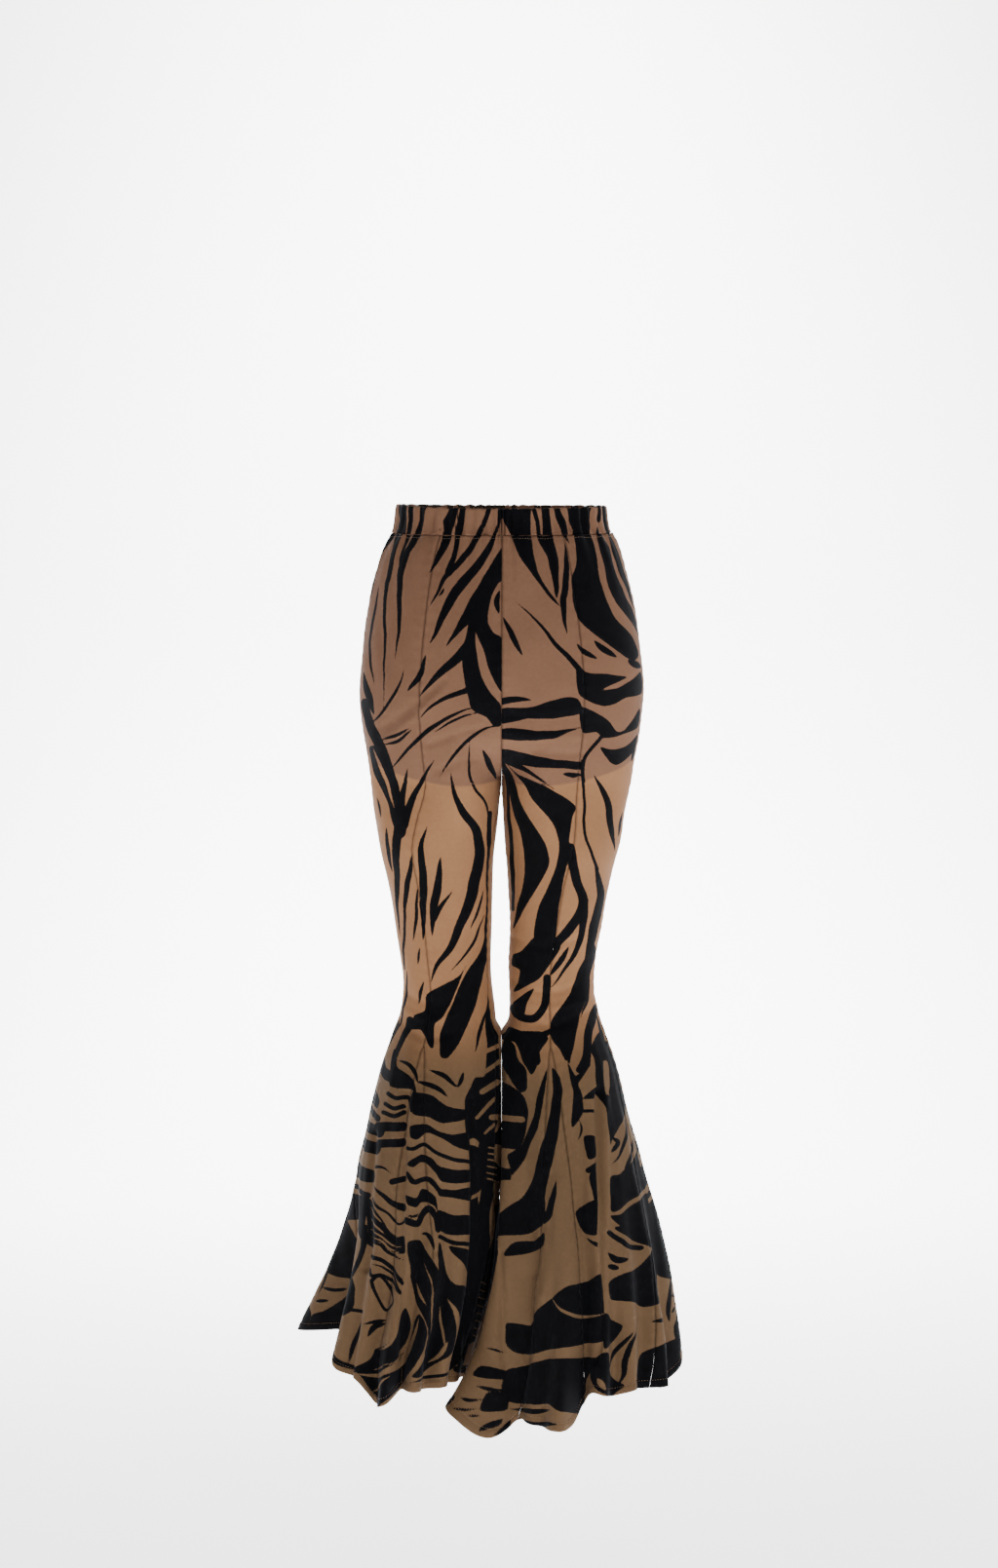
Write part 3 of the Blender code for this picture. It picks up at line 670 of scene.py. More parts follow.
        ("patch", 1, (-170, 684), (-153, 692), (-145, 701), (-149, 710), (-160, 705),
         (-174, 700)),
        ("bar", 8, (-182, 704), (-162, 713), (-146, 722)),
        ("bar", 13, (-192, 722), (-164, 732), (-145, 738)),
        ("bar", 14, (-202, 738), (-170, 752), (-149, 758)),
        ("patch", 1, (-212, 762), (-180, 774), (-153, 783), (-153, 797), (-180, 793),
         (-216, 784)),
        ("bar", 6, (-220, 796), (-185, 803), (-159, 812)),
        ("patch", 1, (-228, 804), (-186, 812), (-158, 815), (-162, 847), (-157, 876),
         (-170, 862), (-182, 842), (-200, 842), (-230, 838)),
        ("patch", 1, (-236, 838), (-205, 842), (-200, 872), (-207, 905), (-221, 909),
         (-236, 884)),
        # the flap at the outer hem
        ("leaf", 4, (-231, 921), (-226, 925), (-221, 922)),
        ("leaf", 4, (-235, 938), (-230, 937)),
        ("patch", 1, (-214, 903), (-219, 923), (-226, 938), (-233, 949), (-239, 956),
         (-240, 985), (-212, 990), (-200, 950), (-202, 905)),
        ("leaf", 5, (-224, 898), (-234, 922), (-240, 946)),
        ("patch", 1, (-238, 973), (-252, 968), (-262, 980), (-262, 1046), (-240, 1046)),
        ("bar", 6, (-163, 850), (-169, 880), (-180, 906)),
        ("patch", 1, (-192, 896), (-182, 904), (-177, 920), (-180, 941), (-186, 952),
         (-196, 952)),
        ("bar", 4, (-198, 952), (-186, 948), (-172, 950)),
        # ripples round the outer fold
        ("leaf", 4, (-159, 869), (-146, 871), (-136, 880), (-116, 889)),
        ("bar", 5, (-159, 885), (-145, 889), (-133, 899), (-116, 917)),
        ("leaf", 3, (-157, 893), (-143, 898), (-128, 912), (-117, 929)),
        ("bar", 4, (-158, 899), (-155, 907), (-145, 907), (-130, 917), (-118, 928)),
        ("bar", 3.5, (-156, 913), (-150, 908), (-144, 910), (-136, 924), (-128, 938),
         (-134, 945), (-142, 948), (-149, 936), (-155, 923), (-156, 913)),
        ("leaf", 4, (-168, 964), (-156, 962), (-140, 960)),
        ("leaf", 7, (-165, 979), (-156, 968), (-142, 964)),
        ("leaf", 4, (-170, 954), (-178, 968), (-188, 992), (-191, 1010)),
        ("bar", 5, (-204, 1002), (-190, 1015), (-172, 1020)),
        # long curves down to the hem
        ("patch", 1, (-110, 868), (-96, 866), (-85, 882), (-72, 904), (-64, 925), (-56, 948),
         (-52, 972), (-55, 996), (-69, 1008), (-85, 1021), (-98, 1027), (-105, 1025),
         (-88, 1004), (-83, 980), (-91, 959), (-101, 936), (-107, 912), (-109, 890)),
        ("leaf", -2.5, (-91, 890), (-80, 928), (-79, 980)),
        ("leaf", -3, (-102, 914), (-88, 944)),
        ("leaf", -2.5, (-68, 938), (-64, 995)),
        ("leaf", -4, (-80, 1010), (-70, 1002), (-62, 985)),
        ("patch", 1, (-73, 866), (-61, 902), (-53, 917), (-36, 922), (-31, 948), (-29, 988),
         (-41, 1018), (-53, 1020), (-48, 988), (-46, 964), (-53, 945), (-66, 924),
         (-73, 906)),
        # painted shade: black carried on down the shaded fold between the legs
        ("patch", 1, (-60, 873), (-34, 877), (-30, 852), (8, 850), (9, 900), (4, 955),
         (-4, 985), (-21, 988), (-27, 1016), (-38, 1012), (-33, 940), (-29, 920), (-35, 905)),
        ("bar", 9, (-36, 1018), (-10, 1016)),
        # thin bare bars through the painted shade of the fold, so that it reads dim rather than
        # solid black
        *(("bar", -2, (-15, down), (-5, down + 2)) for down in
          (756, 763, 770, 778, 786, 793, 915, 924, 933, 942, 951, 960, 969, 978, 987)),
        ("leaf", -7, (-9, 812), (-9, 845), (-9, 876)),
        ("patch", 1, (-184, 1020), (-162, 1005), (-156, 994), (-135, 989), (-124, 979),
         (-117, 956), (-112, 946), (-108, 964), (-113, 988), (-127, 1009), (-149, 1016),
         (-173, 1021)),
        ("leaf", -3, (-152, 995), (-133, 991), (-123, 976)),
        ("patch", 1, (-176, 1019), (-149, 1018), (-124, 1009), (-109, 988), (-103, 962),
         (-96, 953), (-87, 974), (-90, 993), (-108, 1023), (-127, 1045), (-143, 1063),
         (-148, 1063), (-162, 1045), (-170, 1029)),
        ("leaf", -7, (-178, 1023), (-149, 1025), (-127, 1016), (-109, 996), (-97, 958)),
        ("leaf", -3.5, (-163, 1045), (-147, 1037), (-131, 1026)),
        ("leaf", 4, (-109, 1034), (-91, 1029), (-69, 1025), (-43, 1018)),
    ),
    "right": (
        # from the waistband down over the hip
        ("patch", 1, (1, 14), (4, 21), (7, 27), (10.5, 33), (12.5, 39.5), (17, 50), (22, 60),
         (29, 71), (36.5, 81), (43, 89.5), (50.5, 100), (59, 110), (68, 118), (63.5, 110),
         (55.5, 100), (48.5, 89.5), (42.5, 77), (41, 71), (39, 60), (37, 50), (35, 36), (34, 14)),
        ("patch", 1, (40, 26), (45, 28), (48, 32), (58.5, 31), (60.5, 42), (63.5, 50), (65.5, 56),
         (67, 62), (67.6, 71), (67.5, 81), (67, 91.5), (66.3, 100), (64.5, 109), (61.3, 100),
         (60.3, 91.5), (58.8, 81), (56.2, 71), (54.6, 60), (48.5, 50), (44.5, 44), (41.5, 37)),
        ("tail", 7, (71, 20), (74, 32), (76.5, 38), (79, 44)),
        ("leaf", 8, (73, 42), (75.5, 52), (77, 71), (76.5, 82), (73.5, 102), (72, 112),
         (74, 134), (77, 151)),
        ("patch", 1, (84, 22), (103, 26), (102.5, 29), (105.5, 35.5), (107.5, 41.5), (109.5, 50),
         (111.5, 60), (112.5, 71), (115.5, 86), (118.5, 97), (121.5, 107), (126, 117.5),
         (132, 128), (153, 154), (163, 174), (156, 181), (146, 178), (129, 165), (101, 144),
         (93, 135), (88.8, 128), (84.5, 117.5), (83, 107), (83, 86), (87.3, 71), (88.3, 60),
         (87, 50), (86, 41.5), (85, 33)),
        ("patch", 1, (111, 26), (115, 29), (121, 38), (125, 43.5), (127.7, 50), (129.3, 58),
         (131.8, 71), (137.5, 86), (141.7, 97), (147, 108), (157, 120), (165, 138), (166, 152),
         (155, 138), (144, 125), (134, 113), (125.5, 97), (122, 79), (118.5, 63.5), (115, 50),
         (112.6, 36)),
        ("leaf", 9, (122, 20), (128, 34), (133.5, 50), (138, 61), (142, 74), (150, 94), (161, 120)),
        ("leaf", 6, (88, 161), (96, 171), (112, 180)),
        ("leaf", 8, (109, 158), (119, 168), (135, 177)),
        ("leaf", 8, (148, 181), (157, 186), (168, 190)),
        ("tail", 7, (95, 196), (82, 181), (61, 160), (38, 131), (15, 111)),
        ("leaf", 7, (2, 130), (12, 152), (25, 176)),
        ("patch", 1, (88, 191), (103, 196), (145, 200), (143, 204), (118, 217), (137, 214),
         (151, 205), (165, 195), (170, 210), (167, 221), (147, 225), (134, 232), (120, 236),
         (103, 230), (90, 220)),
        # bars from the centre back
        ("patch", 1, (-2, 226), (17, 224), (36, 228), (17, 231), (-2, 234)),
        ("patch", 1, (-2, 239), (31, 237), (59, 229), (78, 225), (88, 226), (93, 233),
         (93, 244), (59, 251), (31, 250), (-2, 257)),
        ("patch", 1, (-2, 264), (17, 261), (53, 265), (96, 260), (78, 266), (59, 274),
         (31, 275), (-2, 275)),
        ("patch", 1, (-2, 287), (31, 291), (63, 299), (94, 301), (94, 310), (53, 308),
         (-2, 301)),
        ("patch", 1, (93, 236), (125, 252), (136, 265), (146, 263), (165, 238), (164, 259),
         (146, 268), (120, 273), (112, 266), (96, 267)),
        ("bar", 4, (118, 271), (101, 291), (96, 303), (97, 324)),
        ("patch", 1, (115, 284), (127, 286), (146, 283), (163, 269), (160, 286), (146, 298),
         (135, 304), (126, 301)),
        ("leaf", 5, (160, 284), (154, 301)),
        ("tail", 8, (-2, 297), (31, 312), (62, 334)),
        ("leaf", 6, (72, 316), (84, 317), (95, 316)),
        # inner thigh
        ("bar", 6, (3, 312), (7, 365), (11, 400), (12, 475)),
        ("patch", 1, (0, 300), (12, 316), (24, 352), (36, 374), (51, 397), (57, 419),
         (50, 434), (36, 459), (24, 480), (13, 499), (17, 478), (24, 449), (27, 419),
         (23, 391), (15, 363), (6, 330)),
        ("patch", 1, (2, 300), (20, 316), (50, 329), (86, 352), (84, 364), (79, 393),
         (79, 416), (71, 449), (63, 508), (58, 516), (38, 511), (41, 480), (57, 442),
         (66, 419), (67, 395), (59, 372), (36, 344), (26, 327)),
        ("bar", 11, (80, 402), (88, 440), (95, 466), (86, 490), (62, 518)),
        ("tail", 10, (96, 464), (96, 492), (90, 517), (77, 543), (54, 572)),
        ("leaf", 7, (79, 519), (70, 536), (56, 554)),
        ("patch", 1, (59, 511), (68, 505), (69, 522), (55, 543), (43, 557), (24, 569),
         (14, 572), (22, 548), (12, 541), (14, 529), (24, 524), (38, 508)),
        ("bar", 9, (11, 592), (22, 602), (38, 603), (51, 588), (53, 556)),
        ("patch", 1, (10, 590), (38, 568), (31, 586), (26, 600), (14, 603)),
        ("patch", 1, (8, 614), (36, 622), (60, 617), (45, 637), (44, 658), (-1, 658),
         (7, 630)),
        ("leaf", -4, (8, 623), (18, 634), (22, 651), (28, 663), (36, 664)),
        # outer thigh
        ("bar", 3.5, (95, 300), (97, 350), (98, 384), (106, 411), (113, 428)),
        ("leaf", 12, (109, 420), (114.5, 440), (116.5, 459), (112.5, 480), (108, 500), (103, 520),
         (97, 545)),
        ("patch", 1, (107, 516), (113, 527), (106, 548), (99, 577), (90, 612), (83, 642),
         (80, 658), (75, 648), (59, 629), (57, 610), (70, 590), (82, 572), (93, 543)),
        ("leaf", 8, (109, 316), (123, 346), (129, 378), (134, 406)),
        ("leaf", 5, (144, 360), (141, 376), (139, 390)),
        ("leaf", 4, (104, 546), (101, 575), (94, 604)),
        ("bar", 10, (112, 592), (103, 620), (99, 658)),
        ("tail", 14, (132, 658), (123, 630), (113, 598)),
        # top of the inner godet and the fold between the legs
        ("patch", 1, (3, 628), (17, 632), (25, 653), (34, 670), (41, 660), (46, 642),
         (55, 628), (44, 619), (9, 619)),
        ("patch", 1, (0, 640), (12, 646), (28, 663), (30, 687), (22, 691), (9, 668),
         (-3, 652)),
        ("patch", 1, (-9, 676), (12, 682), (28, 698), (31, 718), (23, 760), (18, 782),
         (16, 800), (10, 831), (49, 830), (48, 846), (28, 858), (8, 861), (-9, 876),
         (-22, 860), (-24, 718), (-19, 692)),
        ("bar", -7, (-9, 720), (24, 723)),
        ("patch", -1, (-9, 752), (2, 757), (20, 758), (14, 766), (17, 781), (7, 779),
         (-9, 768)),
        ("patch", -1, (4, 797), (19, 796), (17, 811), (5, 826)),
        # long strokes down the middle of the flare
        ("leaf", 10, (53, 662), (47, 690), (42, 720), (30, 750), (16, 792)),
        ("patch", 1, (59, 662), (68, 673), (71, 689), (70, 711), (67, 734), (63, 760),
         (57, 787), (50, 815), (53, 831), (49, 838), (9, 838), (25, 815), (38, 782),
         (47, 755), (52, 737), (58, 711), (60, 690)),
        ("leaf", -8, (53, 690), (45, 738), (38, 768), (26, 800), (6, 840)),
        ("patch", 1, (64, 796), (65, 811), (60, 837), (48, 847), (48, 831), (57, 815)),
        ("leaf", -7, (66, 764), (57, 794), (51, 832)),
        ("patch", 1, (54, 617), (66, 636), (76, 654), (80, 642), (86, 617)),
        ("patch", 1, (78, 656), (87, 671), (94, 665), (99, 656), (103, 660), (94, 675),
         (90, 682), (95, 696), (96, 716), (83, 732), (84, 694), (82, 682)),
        ("bar", 7, (100, 640), (97, 652), (91, 664)),
        ("leaf", 3, (93, 724), (95, 735), (89, 749)),
        ("patch", 1, (95, 698), (112, 684), (112, 697)),
        ("bar", 4, (97, 713), (112, 713)),
        ("patch", 1, (97, 744), (113, 744), (113, 765), (101, 770)),
        ("bar", 6, (102, 783), (113, 776)),
        ("patch", 1, (103, 790), (112, 776), (112, 824), (108, 820), (106, 806)),
        ("tail", 6, (113, 871), (106, 868), (100, 863)),
        # outer edge
        ("patch", 1, (104, 640), (120, 617), (124, 669), (125, 695), (146, 698), (146, 718),
         (130, 744), (127, 752), (121, 711), (112, 689), (109, 653)),
        ("patch", 1, (127, 630), (140, 640), (164, 690), (150, 712), (146, 719), (126, 695),
         (127, 661)),
        ("leaf", 4, (147, 716), (145, 744), (138, 766), (128, 778)),
        ("leaf", 6, (128, 744), (136, 750), (128, 762)),
        ("leaf", 5, (158, 744), (154, 763), (145, 784)),
        ("patch", 1, (128, 792), (140, 787), (158, 769), (180, 752), (214, 780), (184, 800),
         (156, 816), (140, 829), (128, 830)),
        ("patch", 1, (128, 837), (142, 834), (160, 820), (186, 806), (216, 800), (222, 842),
         (192, 874), (166, 870), (145, 853)),
        ("patch", 1, (88, 831), (107, 818), (113, 823), (113, 858), (99, 858), (91, 845)),
        # bare cloth on the roll beside the middle panel, and the leaf above it
        ("patch", -1, (110, 694), (115, 696), (119, 712), (121, 735), (126, 752), (127, 780),
         (127, 810), (126, 840), (124.5, 870), (124, 905), (112, 905), (112.5, 860),
         (112.5, 800), (112, 760), (110, 740), (109, 716)),
        ("patch", -1, (120, 655), (125, 655), (127, 668), (127.6, 682), (125, 692),
         (122.5, 695), (121, 690), (120, 672)),
        # the lower flare
        ("patch", 1, (13, 884), (20, 867), (36, 866), (49, 857), (49, 872), (36, 878),
         (24, 882)),
        ("patch", 1, (-12, 872), (6, 866), (8, 884), (0, 915), (-6, 950), (-16, 990),
         (-24, 960), (-20, 900)),
        ("leaf", 3, (-7, 992), (4, 996), (10, 1000)),
        ("patch", 1, (-6, 1013), (8, 1020), (8, 1030), (-10, 1025)),
        ("leaf", 4, (-8, 1036), (3, 1042), (9, 1043)),
        ("patch", 1, (-1, 1046), (8, 1046), (9, 1066), (-1, 1067)),
        ("leaf", 4, (-14, 1051), (-8, 1054), (-2, 1052)),
        ("patch", 1, (-26, 1046), (-17, 1050), (-19, 1062), (-28, 1060)),
        ("leaf", 3.5, (-16, 1063), (-9, 1065), (-2, 1064)),
        ("leaf", 3.5, (-7, 1072), (-1, 1073)),
        ("leaf", 4, (-1, 1092), (2, 1086), (6, 1077)),
        ("leaf", 3, (3, 1097), (7, 1088), (10, 1078)),
        ("patch", 1, (12, 964), (28, 966), (37, 951), (58, 935), (78, 920), (102, 914),
         (117, 906), (121, 930), (122, 982), (97, 988), (57, 995), (31, 1000), (15, 999),
         (11, 986)),
        ("leaf", -4, (59, 934), (73, 949), (97, 956), (124, 953)),
        ("patch", 1, (8, 1021), (25, 1012), (57, 1006), (113, 1005), (102, 1029),
         (97, 1058), (92, 1069), (71, 1068), (57, 1059), (33, 1059), (8, 1056)),
        ("leaf", 6, (8, 1065), (32, 1067), (60, 1066)),
        ("leaf", 7, (14, 1077), (40, 1083), (69, 1082)),
        ("leaf", 8, (85, 1087), (90, 1078), (94, 1068)),
        ("patch", 1, (127, 917), (145, 904), (165, 898), (175, 880), (186, 860), (206, 850),
         (206, 905), (192, 934), (184, 940), (173, 945), (161, 939), (145, 937), (130, 935)),
        ("bar", 6, (127, 856), (140, 866), (150, 873), (166, 875)),
        ("leaf", 8, (126, 880), (137, 888), (150, 888)),
        ("leaf", 7, (126, 896), (140, 898)),
        ("patch", 1, (134, 849), (206, 846), (200, 861), (180, 874), (153, 864)),
        ("patch", 1, (123, 953), (134, 959), (145, 967), (137, 984), (126, 991), (119, 992)),
        ("leaf", 5, (166, 966), (154, 985), (149, 1004), (147, 1024), (142, 1038)),
        ("leaf", 5, (155, 973), (146, 987), (136, 1000), (127, 1019)),
        ("patch", 1, (111, 1003), (126, 998), (129, 1020), (138, 1029), (148, 1037),
         (131, 1052), (114, 1043), (106, 1025)),
        ("leaf", -6, (114, 1028), (121, 1043)),
        ("patch", 1, (204, 979), (189, 986), (176, 998), (170, 1013), (165, 1027), (159, 1040),
         (169, 1042), (194, 1038), (198, 1024), (206, 1006), (209, 994)),
        ("leaf", 6, (195, 947), (192, 957), (178, 961)),
        ("patch", 1, (206, 948), (222, 956), (244, 966), (244, 990), (206, 986)),
    ),
}

# The waistband's own stripes, in the same millimetres
BAND_STROKES = (
    ("bar", 11, (-116.5, -8), (-116.5, 14), (-117.5, 26), (-121, 36), (-124, 46)),
    ("bar", 5, (-106, -8), (-106.5, 14), (-108, 26), (-111, 36), (-114, 46)),
    ("bar", 7, (-91.5, -8), (-92.5, 10), (-94.5, 22), (-98, 31), (-102, 40)),
    ("tail", 12, (-90, -8), (-92.5, 12), (-94.5, 24)),
    ("patch", 1, (-60, -10), (-50, -10), (-52, 10), (-53.5, 19), (-56, 27), (-59.5, 37), (-62, 46),
     (-73, 46), (-69.5, 33), (-67, 26), (-72, 28), (-67.5, 16), (-63, 4)),
    ("bar", 7.5, (-45.5, -8), (-46.5, 10), (-48.5, 25), (-51, 35), (-53, 44)),
    ("bar", 6, (-13.5, -6), (-17, 10), (-21, 20), (-26.5, 32), (-32, 41)),
    ("bar", 3.8, (-2.5, -8), (-2.5, 14), (-4, 24), (-8, 32.5), (-13, 42)),
    ("patch", 1, (-1, -12), (36, -12), (35.4, 3), (34, 14), (34, 28), (35, 36), (36.5, 46),
     (15, 46), (12.5, 39.5), (10.5, 33), (7, 27), (4, 21), (1, 14), (-2, 6)),
    ("bar", 4.8, (37, -4), (40.5, 12), (42, 22), (43, 30), (45, 40)),
    ("patch", 1, (47.5, -12), (56.2, -12), (56.2, 13), (57.2, 24), (58.8, 33), (61, 46), (46, 46),
     (42, 38), (44.5, 33), (48, 33), (48.2, 24), (48, 13)),
    ("bar", 7, (65, -8), (66.5, 8), (71, 20), (73.5, 29), (76, 38)),
    ("patch", 1, (76, -12), (104, -12), (104, 14), (105, 19), (104, 24), (102.5, 29), (105.5, 35.5),
     (108, 46), (87, 46), (85, 34), (85, 28), (83.6, 24), (81.5, 18.5), (79.5, 13.5), (77, 4)),
    ("bar", 3, (114.2, -8), (114.7, 13), (112.5, 23), (113, 30), (116, 40)),
    ("bar", 6, (121, -8), (123, 12), (125, 24), (130, 36), (134, 44)),
)


def smooth_line(points, steps, closed=False):
    """A smooth line through points, as many short steps between each two."""
    points = np.array(points, float)
    count = len(points)
    if closed:
        padded = np.concatenate([points[-1:], points, points[:2]])
    else:
        before = 2 * points[:1] - points[1:2]
        after = 2 * points[-1:] - points[-2:-1]
        padded = np.concatenate([before, points, after])
    share = np.arange(steps)[:, None] / steps
    pieces = []
    for index in range(count if closed else count - 1):
        first, start, end, last = padded[index:index + 4]
        pull = 0.35 if closed else 0.5
        leave, arrive = pull * (end - first), pull * (last - start)
        s2, s3 = share ** 2, share ** 3
        pieces.append((2 * s3 - 3 * s2 + 1) * start + (s3 - 2 * s2 + share) * leave
                      + (3 * s2 - 2 * s3) * end + (s3 - s2) * arrive)
    line = np.concatenate(pieces)
    return line if closed else np.concatenate([line, points[-1:]])


def brush_width(kind, share):
    """Share of a stroke's full width along it."""
    if kind == "leaf":
        return np.sin(np.pi * np.clip(share, 0, 1)) ** 0.75
    if kind == "tail":
        return np.maximum(1 - share, 0) ** 0.75
    return np.ones_like(share)


def nearest(at, starts, ends):
    """Distances to each short line, and how far along it the nearest place is."""
    run = ends - starts
    length = np.maximum((run ** 2).sum(-1), 1e-9)
    offset = at[:, None, :] - starts
    along = np.clip((offset * run).sum(-1) / length, 0, 1)
    return np.linalg.norm(offset - along[..., None] * run, axis=-1), along


def stroke_depth(kind, width, points, at):
    """How far inside a stroke the places lie, in millimetres; negative outside."""
    line = smooth_line(points, LINE_STEPS)
    steps = np.linalg.norm(np.diff(line, axis=0), axis=1)
    reached = np.concatenate([[0], np.cumsum(steps)]) / steps.sum()
    distance, along = nearest(at, line[:-1], line[1:])
    share = reached[:-1] + along * np.diff(reached)
    return (abs(width) / 2 * brush_width(kind, share) - distance).max(axis=1)


def patch_depth(points, at):
    """How far inside an outline the places lie, in millimetres; negative outside."""
    line = smooth_line(points, OUTLINE_STEPS, closed=True)
    after = np.roll(line, -1, axis=0)
    distance = nearest(at, line, after)[0].min(axis=1)
    above = (line[:, 1] > at[:, 1:2]) != (after[:, 1] > at[:, 1:2])
    rise = np.where(np.abs(after[:, 1] - line[:, 1]) < 1e-9, 1e-9, after[:, 1] - line[:, 1])
    crossing = line[:, 0] + (at[:, 1:2] - line[:, 1]) / rise * (after[:, 0] - line[:, 0])
    inside = (above & (at[:, 0:1] < crossing)).sum(axis=1) % 2 == 1
    return np.where(inside, distance, -distance)


def wandering(at):
    """The places moved a little, so that no edge is drawn with a ruler."""
    across, down = at[:, 0], at[:, 1]
    sideways = np.sin(down / 9.3 + 1.7 * np.sin(across / 23.0)) + 0.4 * np.sin(down / 4.1)
    upwards = np.sin(across / 8.1 + 1.3 * np.sin(down / 19.0)) + 0.4 * np.sin(across / 3.7)
    return at + EDGE_WANDER * np.stack([sideways, upwards], -1)


def ink_depth(strokes, at):
    """How deep in the black each place lies, in millimetres; negative on bare mesh."""
    at = wandering(at)
    ink = np.full(len(at), BARE_CLOTH)
    for kind, width, *points in strokes:
        corners = np.array(points, float)
        reach = abs(width) + 12
        low, high = corners.min(axis=0) - reach, corners.max(axis=0) + reach
        near = ((at > low) & (at < high)).all(axis=1)
        if not near.any():
            continue
        if kind == "patch":
            depth = patch_depth(points, at[near])
        else:
            depth = stroke_depth(kind, width, points, at[near])
        ink[near] = np.maximum(ink[near], depth) if width > 0 else np.minimum(ink[near], -depth)
    return ink


def on_the_sheet(points):
    """Where points at the back fall on the flat print, in millimetres across and down."""
    away, up = points[..., 1] + PRINT_DISTANCE, points[..., 2] - PRINT_HEIGHT
    depth = away * math.cos(PRINT_TILT) - up * math.sin(PRINT_TILT)
    rise = away * math.sin(PRINT_TILT) + up * math.cos(PRINT_TILT)
    across = PRINT_SCALE_ACROSS * points[..., 0] / depth
    return np.stack([across, PRINT_DROP - PRINT_SCALE_DOWN * rise / depth], -1)


def turned_to_back(points):
    """Points at the front, turned half round to the back."""
    return points * np.array([-1, -1, 1])


def across_map(leg, at_front):
    """Distance across the print by level and place, from the middle of the half-leg outwards.

    Where the cloth turns away to a side, the print goes on round it instead of being smeared.
    """
    places = np.arange(0, 0.5 + PLACE_STEP / 2, PLACE_STEP)
    levels = np.arange(0, LEVEL_HEM - LEVEL_STEP, -LEVEL_STEP)
    level, place = np.meshgrid(levels, places, indexing="ij")
    points = skin(leg, 1 - place if at_front else place, level, folded=False)
    if at_front:
        points = turned_to_back(points)
    across = np.abs(on_the_sheet(points)[..., 0])
    around = np.linalg.norm(np.diff(points, axis=1), axis=2) / MM
    steps = np.maximum(np.diff(across, axis=1), LEAST_TURN * around)
    middle = len(places) // 2
    total = np.concatenate([np.zeros((len(levels), 1)), np.cumsum(steps, axis=1)], axis=1)
    return total - total[:, middle:middle + 1] + across[:, middle:middle + 1]


ACROSS_MAPS = {(leg, front): across_map(leg, front) for leg in SIDES for front in (False, True)}


def read_map(grid, level, place):
    """Value of a map between its rows and columns."""
    row = np.clip(-level / LEVEL_STEP, 0, grid.shape[0] - 1.001)
    column = np.clip(place / PLACE_STEP, 0, grid.shape[1] - 1.001)
    top, left = row.astype(int), column.astype(int)
    down, right = row - top, column - left
    upper = grid[top, left] * (1 - right) + grid[top, left + 1] * right
    lower = grid[top + 1, left] * (1 - right) + grid[top + 1, left + 1] * right
    return upper * (1 - down) + lower * down


def print_places(leg, place, level, points):
    """The leg whose print is used at each place, and where on the flat print it lies.

    The front takes the other leg's back, so the print breaks at the side seams as cut cloth does.
    """
    place = place % 1
    at_front = place > 0.5
    seen = np.where(at_front[..., None], turned_to_back(points), points)
    back = read_map(ACROSS_MAPS[leg, False], level, place)
    front = read_map(ACROSS_MAPS[leg, True], level, 1 - place)
    side = np.where(at_front, -SIDES[leg], SIDES[leg])
    across = side * np.where(at_front, front, back)
    return at_front, np.stack([across, on_the_sheet(seen)[..., 1]], -1)


def printed(leg, place, level, points, strokes=STROKES):
    """Depth in the black at each place of a piece."""
    at_front, at = print_places(leg, place, level, points)
    ink = np.full(place.shape, BARE_CLOTH)
    for front in (False, True):
        chosen = at_front == front
        if chosen.any():
            own = strokes[OTHER_LEG[leg] if front else leg]
            ink[chosen] = ink_depth(own, at[chosen])
    return ink


# ---------------------------------------------------------------- folds, creases and gathers

# Soft creases, drawn like the strokes: width and depth in millimetres (minus is a hollow)
CREASES = {
    "left": (
        ("leaf", 12, -1.6, (-70, 205), (-100, 232), (-140, 262)),
        ("leaf", 12, 1.2, (-74, 222), (-104, 250), (-142, 282)),
        ("leaf", 10, -1.4, (-22, 262), (-50, 268), (-84, 280)),
        ("leaf", 9, -1.2, (-16, 300), (-45, 300), (-75, 312)),
        ("leaf", 11, -1.5, (-112, 575), (-80, 590), (-52, 580)),
        ("leaf", 10, -1.3, (-118, 610), (-90, 628), (-60, 622)),
        ("leaf", 10, 1.2, (-115, 592), (-86, 608), (-58, 600)),
        ("leaf", 9, -3.5, (-112, 690), (-116, 760), (-117, 850), (-115, 930), (-118, 1000)),
        ("leaf", 12, 2.0, (-104, 700), (-105, 800), (-106, 900)),
        ("leaf", 9, -3.5, (-152, 740), (-154, 800), (-158, 870), (-165, 900)),
        ("leaf", 9, -4.0, (-36, 700), (-33, 800), (-30, 900), (-30, 1000)),
        ("leaf", 9, -1.5, (-74, 800), (-78, 880)),
    ),
    "right": (
        ("leaf", 12, -1.4, (10, 246), (50, 252), (92, 248)),
        ("leaf", 11, -1.3, (12, 282), (50, 290), (92, 292)),
        ("leaf", 11, 1.2, (12, 266), (50, 272), (92, 270)),
        ("leaf", 10, -1.3, (12, 508), (48, 520), (86, 512)),
        ("leaf", 10, -1.5, (14, 560), (52, 575), (88, 566)),
        ("leaf", 11, -1.4, (16, 600), (58, 612), (104, 596)),
        ("leaf", 10, 1.1, (16, 582), (56, 592), (98, 582)),
        ("leaf", 12, -2.2, (36, 905), (46, 860), (52, 790)),
        ("leaf", 12, 1.8, (50, 930), (62, 870), (64, 800)),
        ("leaf", 8, -5.0, (114, 690), (116, 780), (118, 860), (120, 950), (112, 1010)),
        ("leaf", 10, 2.5, (121, 700), (122, 780), (123, 850)),
        ("leaf", 9, -2.0, (95, 700), (95, 780), (95, 850)),
        ("leaf", 6, -3.0, (10, 880), (9, 1000), (10, 1080)),
    ),
}
WAIST_WAVES = table(
    "gathers depth phase",
    (52, 0.45, 0.0),
    (31, 0.35, 1.1),
    (23, 0.30, 2.7),
)
WAIST_GATHER = 0.0019
WAIST_FADE = 0.030
